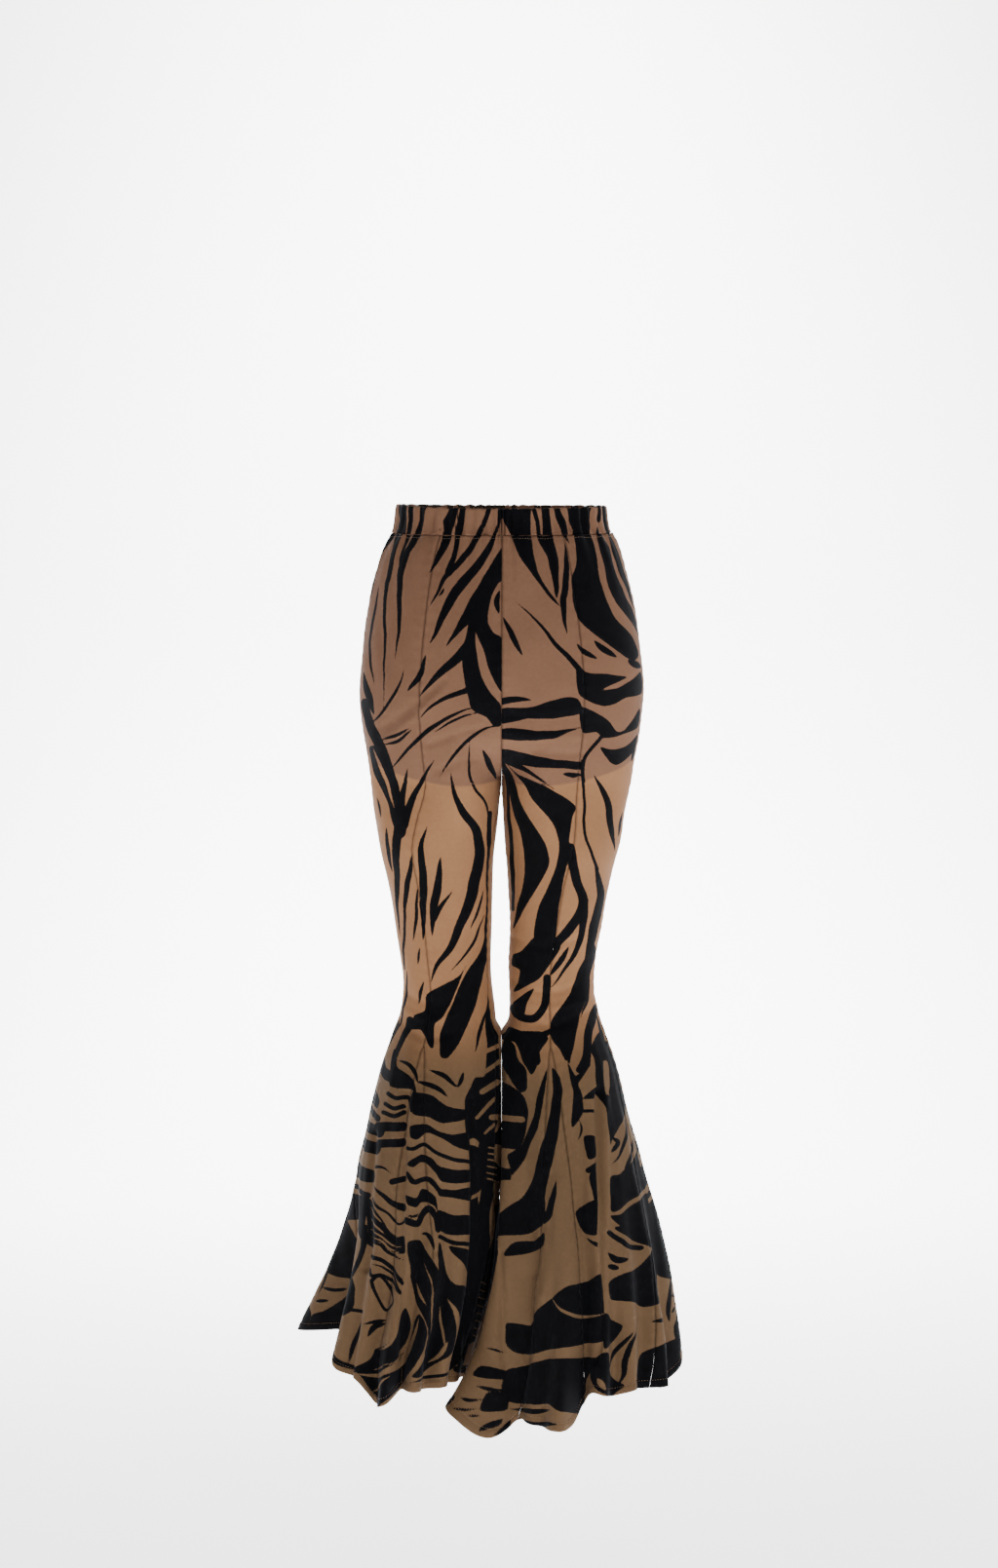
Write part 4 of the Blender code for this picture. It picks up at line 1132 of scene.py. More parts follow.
FLARE_WAVES = table(
    "waves depth phase twist",
    (17, 0.6, 0.4, 1.5),
    (26, 0.4, 2.1, -2.2),
    (41, 0.2, 1.0, 3.1),
)
UNEVEN_WAVES = table(
    # depth in millimetres, waves to the metre across, round and down, phase
    "depth x y z phase",
    (0.55, 9, 7, 5, 0.3),
    (0.35, -13, 11, 9, 1.9),
    (0.22, 21, -17, 14, 4.0),
)


def waist_gathers(leg, place, level):
    """Small folds that run down out of the waistband and fade."""
    turn = place / 2 if leg == "right" else 1 - place / 2
    swell = sum(wave["depth"] * np.cos(2 * np.pi * wave["gathers"] * turn + wave["phase"])
                for wave in WAIST_WAVES)
    return WAIST_GATHER * swell * np.exp((level + BAND_HEIGHT) / WAIST_FADE)


def flare_ripples(leg, place, level):
    """Low ripples in the flare that grow to the hem."""
    share = flare_share(level)
    turned = 0.9 if leg == "right" else 0.0
    ripple = sum(
        wave["depth"] * np.cos(2 * np.pi * wave["waves"] * place + wave["phase"] + turned
                               + wave["twist"] * share)
        for wave in FLARE_WAVES
    )
    return MM * ripple * share ** 0.8


def unevenness(points):
    """Slow swells of a fraction of a millimetre, as cloth that isn't drawn tight has."""
    swell = sum(
        wave["depth"] * np.sin(2 * np.pi * (points @ np.array([wave["x"], wave["y"], wave["z"]]))
                               + wave["phase"])
        for wave in UNEVEN_WAVES
    )
    return MM * swell


def creased(leg, place, level, points):
    """Creases at the back, and the other leg's at the front."""
    at_front, at = print_places(leg, place, level, points)
    offset = np.zeros(place.shape)
    for front in (False, True):
        for kind, width, depth, *line in CREASES[OTHER_LEG[leg] if front else leg]:
            corners = np.array(line, float)
            low, high = corners.min(axis=0) - 2 * width, corners.max(axis=0) + 2 * width
            near = (at_front == front) & ((at > low) & (at < high)).all(axis=-1)
            if near.any():
                away = -stroke_depth(kind, 0, line, at[near])
                offset[near] += MM * depth * np.exp(-(away / (width / 2)) ** 2)
    return offset


def seam_pull(to_seam, along):
    """The cloth sinks into its seams, with the same small puckers on both sides of each."""
    groove = -SEAM_GROOVE * np.exp(-(to_seam / SEAM_GROOVE_WIDTH) ** 2)
    drift = PUCKER_DRIFT * np.sin(along / PUCKER_DRIFT_LENGTH)
    wave = np.sin(2 * np.pi * along / PUCKER_PITCH + drift)
    return groove + PUCKER * wave * np.exp(-to_seam / PUCKER_REACH)


def hem_turn(to_hem):
    """The turned edge stands out a little, with a groove along its stitches."""
    raised = HEM_ROLL * eased(to_hem, HEM_TURN + HEM_STEP, HEM_TURN - HEM_STEP)
    return raised - HEM_ROLL * np.exp(-((to_hem - HEM_TURN) / HEM_GROOVE_WIDTH) ** 2)


# ---------------------------------------------------------------- cut pieces as thin shells

def even_places(leg, first, last, levels, columns):
    """Places from edge to edge at each level, the same length of cloth apart, and that length."""
    share = np.linspace(0, 1, 4 * columns + 1)
    dense = first[:, None] + (last - first)[:, None] * share
    points = skin(leg, dense, levels[:, None])
    steps = np.linalg.norm(np.diff(points, axis=1), axis=2)
    along = np.concatenate([np.zeros((len(levels), 1)), np.cumsum(steps, axis=1)], axis=1)
    places, lengths = [], []
    for row_places, row_along in zip(dense, along):
        wanted = np.linspace(CUT_GAP / 2, row_along[-1] - CUT_GAP / 2, columns + 1)
        places.append(np.interp(wanted, row_along, row_places))
        lengths.append(wanted)
    return np.array(places), np.array(lengths)


def gap_between_legs():
    """Distance down, middle of the gap between the legs and half its width."""
    levels = np.arange(0, LEVEL_HEM - LEVEL_STEP, -LEVEL_STEP)
    places = np.linspace(0, 1, GAP_PLACES, endpoint=False)
    level, place = np.meshgrid(levels, places, indexing="ij")
    right = skin("right", place, level)[..., 0].min(axis=1)
    left = skin("left", place, level)[..., 0].max(axis=1)
    return -levels, (right + left) / 2, np.maximum(right - left, 0) / 2


LEG_GAP = gap_between_legs()


def leaning(leg, level, points):
    """The points, with the inner sides of the two flares leaning on each other."""
    down, middle, half = LEG_GAP
    centre, reach = np.interp(-level, down, middle), np.interp(-level, down, half)
    away = SIDES[leg] * (points[..., 0] - centre)
    touch = eased(level, TOUCH_TOP, TOUCH_FULL) * eased(level, TOUCH_END, TOUCH_LOW)
    pull = touch * (reach + TOUCH_PRESS) * np.exp(-((away - reach) / TOUCH_REACH) ** 2)
    closer = np.maximum(away - pull, CUT_GAP / 2)
    moved = points.copy()
    moved[..., 0] = centre + SIDES[leg] * np.where(away > CUT_GAP / 2, closer, away)
    return moved


def kept_to_side(leg, points):
    """The points, kept on the leg's own side of the middle down to the thighs."""
    reach = np.maximum(SIDES[leg] * points[..., 0], CUT_GAP / 2)
    held = points.copy()
    held[..., 0] = np.where(points[..., 2] < ROUND_BELOW, points[..., 0], SIDES[leg] * reach)
    return held


def ring_of(rows, columns):
    """Numbers of a grid's border places, once round."""
    grid = np.arange(rows * columns).reshape(rows, columns)
    return np.concatenate([grid[0, :-1], grid[:-1, -1], grid[-1, :0:-1], grid[:0:-1, 0]])


def grid_quads(rows, columns, start=0):
    """Faces of a grid of points as rows of four numbers."""
    grid = np.arange(rows * columns).reshape(rows, columns) + start
    return np.stack([grid[:-1, :-1], grid[1:, :-1], grid[1:, 1:], grid[:-1, 1:]], -1).reshape(-1, 4)


def shell_faces(shape):
    """Faces of a closed shell: a fine outer grid, a coarse inner one and the cut edge.

    The inner grid has every second row and column of the outer one.
    """
    rows, columns = shape
    inner_rows, inner_columns = (rows + 1) // 2, (columns + 1) // 2
    inner_start = rows * columns
    outer = grid_quads(rows, columns)
    inner = grid_quads(inner_rows, inner_columns, inner_start)[:, ::-1]
    fine = ring_of(rows, columns)
    coarse = ring_of(inner_rows, inner_columns) + inner_start
    edge = []
    for index, this in enumerate(coarse):
        following = coarse[(index + 1) % len(coarse)]
        start, middle, end = fine[[2 * index, 2 * index + 1, (2 * index + 2) % len(fine)]]
        edge += [(this, start, middle), (this, middle, following), (following, middle, end)]
    return outer.tolist() + inner.tolist() + edge


def add_mesh(name, vertices, faces, material):
    """A smooth-shaded object in the scene."""
    mesh = bpy.data.meshes.new(name)
    mesh.from_pydata(vertices, [], faces)
    mesh.shade_smooth()
    mesh.materials.append(material)
    item = bpy.data.objects.new(name, mesh)
    bpy.context.scene.collection.objects.link(item)
    return item


def add_numbers(mesh, name, values):
    """A number for each vertex, for the materials to read."""
    layer = mesh.attributes.new(name, "FLOAT", "POINT")
    layer.data.foreach_set("value", np.asarray(values, np.float32).ravel())


def add_cloth_map(mesh, flat):
    """The piece's flat pattern in metres as its UV map."""
    layer = mesh.uv_layers.new(name="cloth")
    corners = np.empty(len(mesh.loops), np.int32)
    mesh.loops.foreach_get("vertex_index", corners)
    layer.data.foreach_set("uv", flat[corners].astype(np.float32).ravel())


def with_inner(values):
    """Values of the outer grid, then those of the inner one's places."""
    inner = values[::2, ::2]
    tail = values.shape[2:]
    return np.concatenate([values.reshape(-1, *tail), inner.reshape(-1, *tail)])


# ---------------------------------------------------------------- materials

def join(tree, source, target):
    """A link from one socket to another."""
    tree.links.new(source, target)


def add_node(tree, kind, values=None, **settings):
    """A node with settings, and with numbers or links for its inputs."""
    item = tree.nodes.new(kind)
    for name, value in settings.items():
        setattr(item, name, value)
    for name, value in (values or {}).items():
        if isinstance(value, bpy.types.NodeSocket):
            join(tree, value, item.inputs[name])
        else:
            item.inputs[name].default_value = value
    return item


def calculate(tree, operation, *values):
    """The result of a Math node."""
    settings = dict(enumerate(values))
    return add_node(tree, "ShaderNodeMath", settings, operation=operation).outputs[0]


def blend_colours(tree, share, first, second, blend_type="MIX"):
    """The result of mixing two colours."""
    mixer = add_node(tree, "ShaderNodeMix", data_type="RGBA", blend_type=blend_type)
    for socket, value in ((0, share), (6, first), (7, second)):
        if isinstance(value, bpy.types.NodeSocket):
            join(tree, value, mixer.inputs[socket])
        else:
            mixer.inputs[socket].default_value = value
    return mixer.outputs[2]


def ramp(tree, value, low, high, start=0.0, end=1.0):
    """The value spread smoothly from one range to another."""
    settings = {"Value": value, "From Min": low, "From Max": high, "To Min": start, "To Max": end}
    item = add_node(tree, "ShaderNodeMapRange", settings, interpolation_type="SMOOTHSTEP")
    return item.outputs["Result"]


def noise(tree, where, scale, detail=2.0, roughness=0.5):
    """A noise value at a place."""
    settings = {"Vector": where, "Scale": scale, "Detail": detail, "Roughness": roughness}
    return add_node(tree, "ShaderNodeTexNoise", settings).outputs["Fac"]


def new_group(name, inputs, outputs):
    """An empty shader group with named sockets, and its two end nodes."""
    tree = bpy.data.node_groups.new(name, "ShaderNodeTree")
    kinds = {"value": "NodeSocketFloat", "vector": "NodeSocketVector", "colour": "NodeSocketColor"}
    for socket, kind in inputs:
        tree.interface.new_socket(socket, in_out="INPUT", socket_type=kinds[kind])
    for socket, kind in outputs:
        tree.interface.new_socket(socket, in_out="OUTPUT", socket_type=kinds[kind])
    start = tree.nodes.new("NodeGroupInput")
    end = tree.nodes.new("NodeGroupOutput")
    return tree, start.outputs, end.inputs


def knit_mesh_group():
    """Fine knitted mesh: small loops in rows, and a slow change of tone."""
    tree, given, out = new_group(
        "knit mesh",
        (("Flat Place", "vector"), ("Object Place", "vector"), ("Loop Pitch", "value")),
        (("Height", "value"), ("Tone", "value")),
    )
    parts = add_node(tree, "ShaderNodeSeparateXYZ", {"Vector": given["Flat Place"]}).outputs
    turns = calculate(tree, "DIVIDE", 2 * math.pi, given["Loop Pitch"])
    across = calculate(tree, "SINE", calculate(tree, "MULTIPLY", parts["X"], turns))
    shifted = calculate(tree, "MULTIPLY", parts["Y"], calculate(tree, "MULTIPLY", turns, 0.58))
    down = calculate(tree, "SINE", calculate(tree, "ADD", shifted, across))
    loops = calculate(tree, "MULTIPLY", across, down)
    fuzz = noise(tree, given["Object Place"], 900, 3)
    join(tree, calculate(tree, "ADD", calculate(tree, "MULTIPLY", loops, 0.5), fuzz), out["Height"])
    slow = noise(tree, given["Object Place"], 9, 3)
    fine = noise(tree, given["Object Place"], 260, 4, 0.7)
    mottled = calculate(tree, "ADD", ramp(tree, slow, 0.3, 0.7, 0.93, 1.03),
                        ramp(tree, fine, 0.3, 0.7, -0.035, 0.035))
    join(tree, mottled, out["Tone"])
    return tree


def velvet_pile_group():
    """Short upright fibres that lie in patches."""
    tree, given, out = new_group(
        "velvet pile",
        (("Object Place", "vector"), ("Fibre Scale", "value")),
        (("Height", "value"), ("Tone", "value")),
    )
    fibres = noise(tree, given["Object Place"], given["Fibre Scale"], 3, 0.7)
    join(tree, fibres, out["Height"])
    brushed = noise(tree, given["Object Place"], 45, 4, 0.6)
    join(tree, ramp(tree, brushed, 0.35, 0.7, 0.75, 1.5), out["Tone"])
    return tree


def print_edge_group():
    """Share of black from the depth in the ink, with an edge that fibres break up."""
    tree, given, out = new_group(
        "print edge",
        (("Ink Depth", "value"), ("Object Place", "vector"), ("Ragged", "value")),
        (("Black", "value"),),
    )
    rough = calculate(tree, "SUBTRACT", noise(tree, given["Object Place"], 420, 3, 0.6), 0.5)
    moved = calculate(tree, "MULTIPLY_ADD", rough, given["Ragged"], given["Ink Depth"])
    join(tree, ramp(tree, moved, -0.35, 0.35), out["Black"])
    return tree


KNIT_MESH = knit_mesh_group()
VELVET_PILE = velvet_pile_group()
PRINT_EDGE = print_edge_group()

TAN_SINGLE = (0.258, 0.128, 0.061, 1)
TAN_BACKED = (0.166, 0.085, 0.050, 1)
# Tan of the flare: doubled mesh, darkened further as painted shade of its hollow inside
TAN_FLARE_SHADED = (0.108, 0.064, 0.033, 1)
BLACK_PILE = (0.0010, 0.0010, 0.0018, 1)
BLACK_FROM_INSIDE = (0.030, 0.019, 0.012, 1)
LINING_BROWN = (0.190, 0.100, 0.058, 1)
THREAD_TAN = (0.185, 0.112, 0.070, 1)


def use_group(tree, group, **values):
    """A group placed in a material."""
    item = tree.nodes.new("ShaderNodeGroup")
    item.node_tree = group
    for name, value in values.items():
        socket = item.inputs[name.replace("_", " ")]
        if isinstance(value, bpy.types.NodeSocket):
            join(tree, value, socket)
        else:
            socket.default_value = value
    return item.outputs


def new_material(name):
    """A material with its shader, ready for nodes."""
    material = bpy.data.materials.new(name)
    material.use_nodes = True
    tree = material.node_tree
    return material, tree, tree.nodes["Principled BSDF"]


def attribute(tree, name):
    """A number that the mesh carries."""
    return add_node(tree, "ShaderNodeAttribute", attribute_name=name).outputs["Fac"]


def bumped(tree, height, strength, distance):
    """A normal from a height."""
    settings = {"Height": height, "Strength": strength, "Distance": distance}
    return add_node(tree, "ShaderNodeBump", settings).outputs["Normal"]


def flocked_mesh_material():
    """Tan knitted mesh with black velvet flocked on in stripes."""
    material, tree, shader = new_material("flocked_mesh")
    flat = add_node(tree, "ShaderNodeUVMap", uv_map="cloth").outputs["UV"]
    place = add_node(tree, "ShaderNodeTexCoord").outputs["Object"]
    knit = use_group(tree, KNIT_MESH, Flat_Place=flat, Object_Place=place, Loop_Pitch=0.0011)
    pile = use_group(tree, VELVET_PILE, Object_Place=place, Fibre_Scale=1600)
    edge = use_group(tree, PRINT_EDGE, Ink_Depth=attribute(tree, "ink"), Object_Place=place,
                     Ragged=1.1)
    black, inside = edge["Black"], attribute(tree, "inside")
    tan = blend_colours(tree, attribute(tree, "backed"), TAN_SINGLE, TAN_BACKED)
    # painted shade: the flare darker for its doubled mesh and the shade inside it
    tan = blend_colours(tree, attribute(tree, "flare"), tan, TAN_FLARE_SHADED)
    tan = blend_colours(tree, 1.0, tan, knit["Tone"], "MULTIPLY")
    seam_shade = ramp(tree, attribute(tree, "seam"), 0.0, 1.0, 1.0, SEAM_SHADE)
    tan = blend_colours(tree, 1.0, tan, seam_shade, "MULTIPLY")
    velvet = blend_colours(tree, 1.0, BLACK_PILE, pile["Tone"], "MULTIPLY")
    velvet = blend_colours(tree, inside, velvet, BLACK_FROM_INSIDE)
    join(tree, blend_colours(tree, black, tan, velvet), shader.inputs["Base Color"])
    join(tree, calculate(tree, "MULTIPLY_ADD", black, 0.10, 0.78), shader.inputs["Roughness"])
    raised = calculate(tree, "MULTIPLY", black, calculate(tree, "SUBTRACT", 1.0, inside))
    pile_top = calculate(tree, "MULTIPLY_ADD", pile["Height"], 0.6, 1.6)
    height = calculate(tree, "MULTIPLY", raised, pile_top)
    mesh_top = calculate(tree, "MULTIPLY", knit["Height"], calculate(tree, "SUBTRACT", 1.0, raised))
    total = calculate(tree, "MULTIPLY_ADD", mesh_top, 0.45, height)
    join(tree, bumped(tree, total, 0.55, 0.00022), shader.inputs["Normal"])
    shader.inputs["Specular IOR Level"].default_value = 0.08
    shader.inputs["Sheen Weight"].default_value = 0.03
    shader.inputs["Sheen Roughness"].default_value = 0.45
    shader.inputs["Sheen Tint"].default_value = (0.62, 0.66, 0.80, 1)
    return material


def lining_material():
    """Fine brown jersey."""
    material, tree, shader = new_material("lining_jersey")
    flat = add_node(tree, "ShaderNodeUVMap", uv_map="cloth").outputs["UV"]
    place = add_node(tree, "ShaderNodeTexCoord").outputs["Object"]
    knit = use_group(tree, KNIT_MESH, Flat_Place=flat, Object_Place=place, Loop_Pitch=0.0006)
    colour = blend_colours(tree, 1.0, LINING_BROWN, knit["Tone"], "MULTIPLY")
    join(tree, colour, shader.inputs["Base Color"])
    join(tree, ramp(tree, knit["Height"], -0.5, 1.5, 0.62, 0.82), shader.inputs["Roughness"])
    join(tree, bumped(tree, knit["Height"], 0.5, 0.00012), shader.inputs["Normal"])
    shader.inputs["Sheen Weight"].default_value = 0.08
    return material


def thread_material():
    """Matt twisted sewing thread."""
    material, tree, shader = new_material("sewing_thread")
    place = add_node(tree, "ShaderNodeTexCoord").outputs["Object"]
    pile = use_group(tree, VELVET_PILE, Object_Place=place, Fibre_Scale=2600)
    colour = blend_colours(tree, 1.0, THREAD_TAN, pile["Tone"], "MULTIPLY")
    join(tree, colour, shader.inputs["Base Color"])
    join(tree, ramp(tree, pile["Height"], 0.2, 0.8, 0.55, 0.75), shader.inputs["Roughness"])
    join(tree, bumped(tree, pile["Height"], 0.4, 0.0001), shader.inputs["Normal"])
    return material


def paper_material():
    """Pale matt backdrop paper."""
    material, tree, shader = new_material("backdrop_paper")
    place = add_node(tree, "ShaderNodeTexCoord").outputs["Object"]
    grain = noise(tree, place, 60, 3)
    join(tree, ramp(tree, grain, 0.3, 0.7, 0.86, 0.90), shader.inputs["Roughness"])
    shader.inputs["Base Color"].default_value = (0.93, 0.93, 0.93, 1)
    shader.inputs["Specular IOR Level"].default_value = 0.1
    shader.inputs["Emission Color"].default_value = (1, 1, 1, 1)
    shader.inputs["Emission Strength"].default_value = 2.2
    return material


# ---------------------------------------------------------------- the cut pieces

def body_edges(first_seam, last_seam):
    """Edges of a long panel: the seams above the godets, and the godets' sides below."""
    def edges(levels):
        first = seam_place(first_seam, levels) + godet_half_share(first_seam, levels)
        last = seam_place(last_seam, levels) - godet_half_share(last_seam, levels)
        return first, last + (1.0 if last_seam == "inseam" else 0.0)

    return edges


def godet_edges(seam):
    """The two sides of a godet, from its tip to the hem."""
    def edges(levels):
        middle, half = seam_place(seam, levels), godet_half_share(seam, levels)
        return middle - half, middle + half

    return edges


def cloth_piece(name, leg, edges, top, fineness, material):
    """A cut piece of one leg as a thin shell, with its folds, seams, hem and print."""
    columns, rows = fineness
    levels = np.linspace(top, LEVEL_HEM, rows + 1)
    first, last = edges(levels)
    place, along = even_places(leg, first, last, levels, columns)
    level = np.broadcast_to(levels[:, None], place.shape)
    points, normals = skin(leg, place, level), outward(leg, place, level)
    drop = top - level
    to_seam = np.minimum(along, along[:, -1:] + CUT_GAP / 2 - along)
    to_hem = points[..., 2] - points[-1:, :, 2]
    lift = waist_gathers(leg, place, level) + flare_ripples(leg, place, level)
    lift += creased(leg, place, level, points) + unevenness(points) + hem_turn(to_hem)
    lift += seam_pull(to_seam, -level)
    leaned = leaning(leg, level, points + normals * lift[..., None])
    outer = kept_to_side(leg, leaned)
    inner = kept_to_side(leg, leaned - normals * CLOTH_WALL)[::2, ::2]
    vertices = np.concatenate([outer.reshape(-1, 3), inner.reshape(-1, 3)])
    piece = add_mesh(f"cloth_{name}", vertices, shell_faces(place.shape), material)
    if SIDES[leg] < 0:
        piece.data.flip_normals()
    lining_edge = through(LINING_CURVE, place % 1)
    add_numbers(piece.data, "ink", with_inner(printed(leg, place, level, points)))
    backed = eased(level - lining_edge, -LINING_SHADE_EDGE, LINING_SHADE_EDGE)
    add_numbers(piece.data, "backed", with_inner(backed))
    # where the flare is darkened: doubled mesh, with painted shade of its hollow inside
    add_numbers(piece.data, "flare", with_inner(eased(level, FLARE_SHADE_TOP, FLARE_SHADE_FULL)))
    add_numbers(piece.data, "seam", with_inner(np.exp(-(to_seam / SEAM_SHADE_WIDTH) ** 2)))
    inside = np.concatenate([np.zeros(outer[..., 0].size), np.ones(inner[..., 0].size)])
    add_numbers(piece.data, "inside", inside)
    middle = (along[:, -1:] + CUT_GAP / 2) / 2
    add_cloth_map(piece.data, with_inner(np.stack([along - middle, -drop], -1)))
    return piece


def make_legs(material):
    """The long panels and the godets of both legs."""
    pieces = {}
    seams = ("inseam", "mid_back", "outseam", "mid_front", "inseam")
    names = ("back_inner", "back_outer", "front_outer", "front_inner")
    for leg in SIDES:
        for name, first, last in zip(names, seams, seams[1:]):
            label = f"{name}_{leg}"
            fineness = BACK_FINENESS if name.startswith("back") else FRONT_FINENESS
            pieces[label] = cloth_piece(label, leg, body_edges(first, last), PANEL_TOP,
                                        fineness, material)
        for seam, godet in GODETS.items():
            label = f"godet_{seam}_{leg}"
            pieces[label] = cloth_piece(label, leg, godet_edges(seam), godet["apex"],
                                        GODET_FINENESS, material)
    return pieces


def lining_half(leg, middle, share, depth):
    """Points of the lining from one side seam to the middle."""
    side = 0.5 - LINING_SIDE_GAP if middle < 0.5 else 0.5 + LINING_SIDE_GAP
    place = np.linspace(side, middle, LINING_COLUMNS // 2 + 1)[None, :]
    level = PANEL_TOP + share[:, None] * (through(LINING_CURVE, place) - PANEL_TOP)
    place = np.broadcast_to(place, level.shape)
    points, normals = skin(leg, place, level), outward(leg, place, level)
    forked = np.minimum(1.0, LINING_SPAN_GROWTH * fork_depth(np.zeros_like(level), level))
    spanned = LINING_SPAN * forked * np.exp(-(points[..., 0] / LINING_SPAN_REACH) ** 2)
    normals[:, -1, 0] = 0
    held = points - unit(normals) * (depth + spanned)[..., None]
    held[:, -1, 0] = 0
    return held


def make_lining(name, middle, material):
    """Half of the brief-shaped lining, from side seam to side seam."""
    share = np.linspace(0, 1, LINING_ROWS + 1)

    def grid(depth):
        left = lining_half("left", middle, share, depth)
        right = lining_half("right", middle, share, depth)
        return np.concatenate([left, right[:, -2::-1]], axis=1)

    outer, inner = grid(LINING_DEPTH), grid(LINING_DEPTH + LINING_WALL)[::2, ::2]
    vertices = np.concatenate([outer.reshape(-1, 3), inner.reshape(-1, 3)])
    piece = add_mesh(f"cloth_{name}", vertices, shell_faces(outer.shape[:2]), material)
    if middle > 0.5:
        piece.data.flip_normals()
    steps = np.linalg.norm(np.diff(outer, axis=1), axis=2)
    along = np.concatenate([np.zeros((len(outer), 1)), np.cumsum(steps, axis=1)], axis=1)
    add_cloth_map(piece.data, with_inner(np.stack([along, outer[..., 2]], -1)))
    return piece


# Slow waves round the band that keep its gathers from standing evenly
BAND_WANDER = table(
    "waves shift phase",
    (5, 0.9, 0.4),
    (11, 0.5, 0.0),
)


def squared(wave):
    """A wave with squarer corners, for the band's flat section."""
    return np.copysign(np.abs(wave) ** BAND_CORNER, wave)


def make_waistband(material):
    """The casing over the elastic: one closed ring with uneven gathers."""
    count = BAND_GATHERS * BAND_STEPS
    turn = (np.arange(count) + 0.5)[:, None] / count
    angle = 2 * np.pi * np.arange(BAND_PROFILE)[None, :] / BAND_PROFILE
    down, inwards = (1 - squared(np.cos(angle))) / 2, (1 - squared(np.sin(angle))) / 2
    wander = sum(wave["shift"] * np.sin(2 * np.pi * wave["waves"] * turn + wave["phase"])
                 for wave in BAND_WANDER)
    slant = BAND_SLANT * (down - 0.5) * np.sin(2 * np.pi * BAND_SLANT_WAVES * turn)
    ridge = 0.5 + 0.5 * np.cos(2 * np.pi * BAND_GATHERS * turn + wander + slant)
    ridge = ridge ** GATHER_SHARPNESS
    strength = GATHER_MEAN + GATHER_SPREAD * np.sin(2 * np.pi * GATHER_SPREAD_WAVES * turn + 1.0)
    bulge = GATHER_AT_EDGES + (1 - GATHER_AT_EDGES) * (1 - (2 * down - 1) ** 2)
    swell = GATHER_DEPTH * (2 * ridge - 1) * strength * bulge * (1 - inwards)
    down, inwards, turns = np.broadcast_arrays(down, inwards, turn)
    level = -BAND_HEIGHT * down
    right = turns < 0.5
    place = np.where(right, 2 * turns, 2 * (1 - turns))
    points = np.where(right[..., None], skin("right", place, level), skin("left", place, level))
    away = unit(points * np.array([1, 1, 0]))
    ring = points + away * (swell - inwards * BAND_WALL)[..., None]
    sideways = ring[..., 0] / ring[..., 0].max()
    rise = BAND_LEFT_RISE * np.maximum(-sideways, 0) ** 2
    rise += BAND_RIGHT_RISE * np.maximum(sideways, 0) ** 2
    ring[..., 2] += (rise + BAND_TOP_WAVE * (ridge - 0.5) * strength) * (1 - down)
    grid = np.arange(count * BAND_PROFILE).reshape(count, BAND_PROFILE)
    after, below = np.roll(grid, -1, axis=0), np.roll(grid, -1, axis=1)
    faces = np.stack([grid, below, np.roll(after, -1, axis=1), after], -1).reshape(-1, 4)
    piece = add_mesh("cloth_waistband", ring.reshape(-1, 3), faces.tolist(), material)
    strokes = {leg: BAND_STROKES for leg in SIDES}
    ink = np.where(right, printed("right", place, level, points, strokes),
                   printed("left", place, level, points, strokes))
    ones = np.ones(ink.shape)
    add_numbers(piece.data, "ink", ink)
    add_numbers(piece.data, "backed", ones)
    add_numbers(piece.data, "flare", 0 * ones)
    add_numbers(piece.data, "inside", ones * (inwards > BAND_INSIDE))
    around = np.where(right, 1, -1) * place * BAND_HALF_LENGTH
    add_cloth_map(piece.data, np.stack([around, level], -1).reshape(-1, 2))
    return piece


# ---------------------------------------------------------------- stitches

def stitch_tree(material):
    """Geometry nodes that lay stitches along a line."""
    tree = bpy.data.node_groups.new("stitches along a line", "GeometryNodeTree")
    sockets = {}
    for name, kind, value in (("Line", "NodeSocketGeometry", None),
                              ("Stitch Pitch", "NodeSocketFloat", 0.003),
                              ("Stitch Length", "NodeSocketFloat", 0.002),
                              ("Thread Width", "NodeSocketFloat", 0.0004)):
        socket = tree.interface.new_socket(name, in_out="INPUT", socket_type=kind)
        if value is not None:
            socket.default_value = value
        sockets[name] = socket.identifier
    tree.interface.new_socket("Stitches", in_out="OUTPUT", socket_type="NodeSocketGeometry")
    given = tree.nodes.new("NodeGroupInput").outputs
    result = tree.nodes.new("NodeGroupOutput").inputs
    spaced = add_node(tree, "GeometryNodeResampleCurve",
                      {"Curve": given["Line"], "Length": given["Stitch Pitch"]}, mode="LENGTH")
    along = add_node(tree, "GeometryNodeInputTangent").outputs["Tangent"]
    turned = add_node(tree, "FunctionNodeAlignRotationToVector", {"Vector": along}, axis="Z")
    bead = add_node(tree, "GeometryNodeMeshIcoSphere", {"Radius": 0.5, "Subdivisions": 1})
    size = add_node(tree, "ShaderNodeCombineXYZ", {
        "X": given["Thread Width"], "Y": given["Thread Width"], "Z": given["Stitch Length"]})
    laid = add_node(tree, "GeometryNodeInstanceOnPoints", {
        "Points": spaced.outputs["Curve"], "Instance": bead.outputs["Mesh"],
        "Rotation": turned.outputs["Rotation"], "Scale": size.outputs["Vector"]})
    real = add_node(tree, "GeometryNodeRealizeInstances", {"Geometry": laid.outputs["Instances"]})
    smooth = add_node(tree, "GeometryNodeSetShadeSmooth", {"Geometry": real.outputs["Geometry"]})
    finished = add_node(tree, "GeometryNodeSetMaterial",
                        {"Geometry": smooth.outputs["Geometry"], "Material": material})
    join(tree, finished.outputs["Geometry"], result["Stitches"])
    return tree, sockets


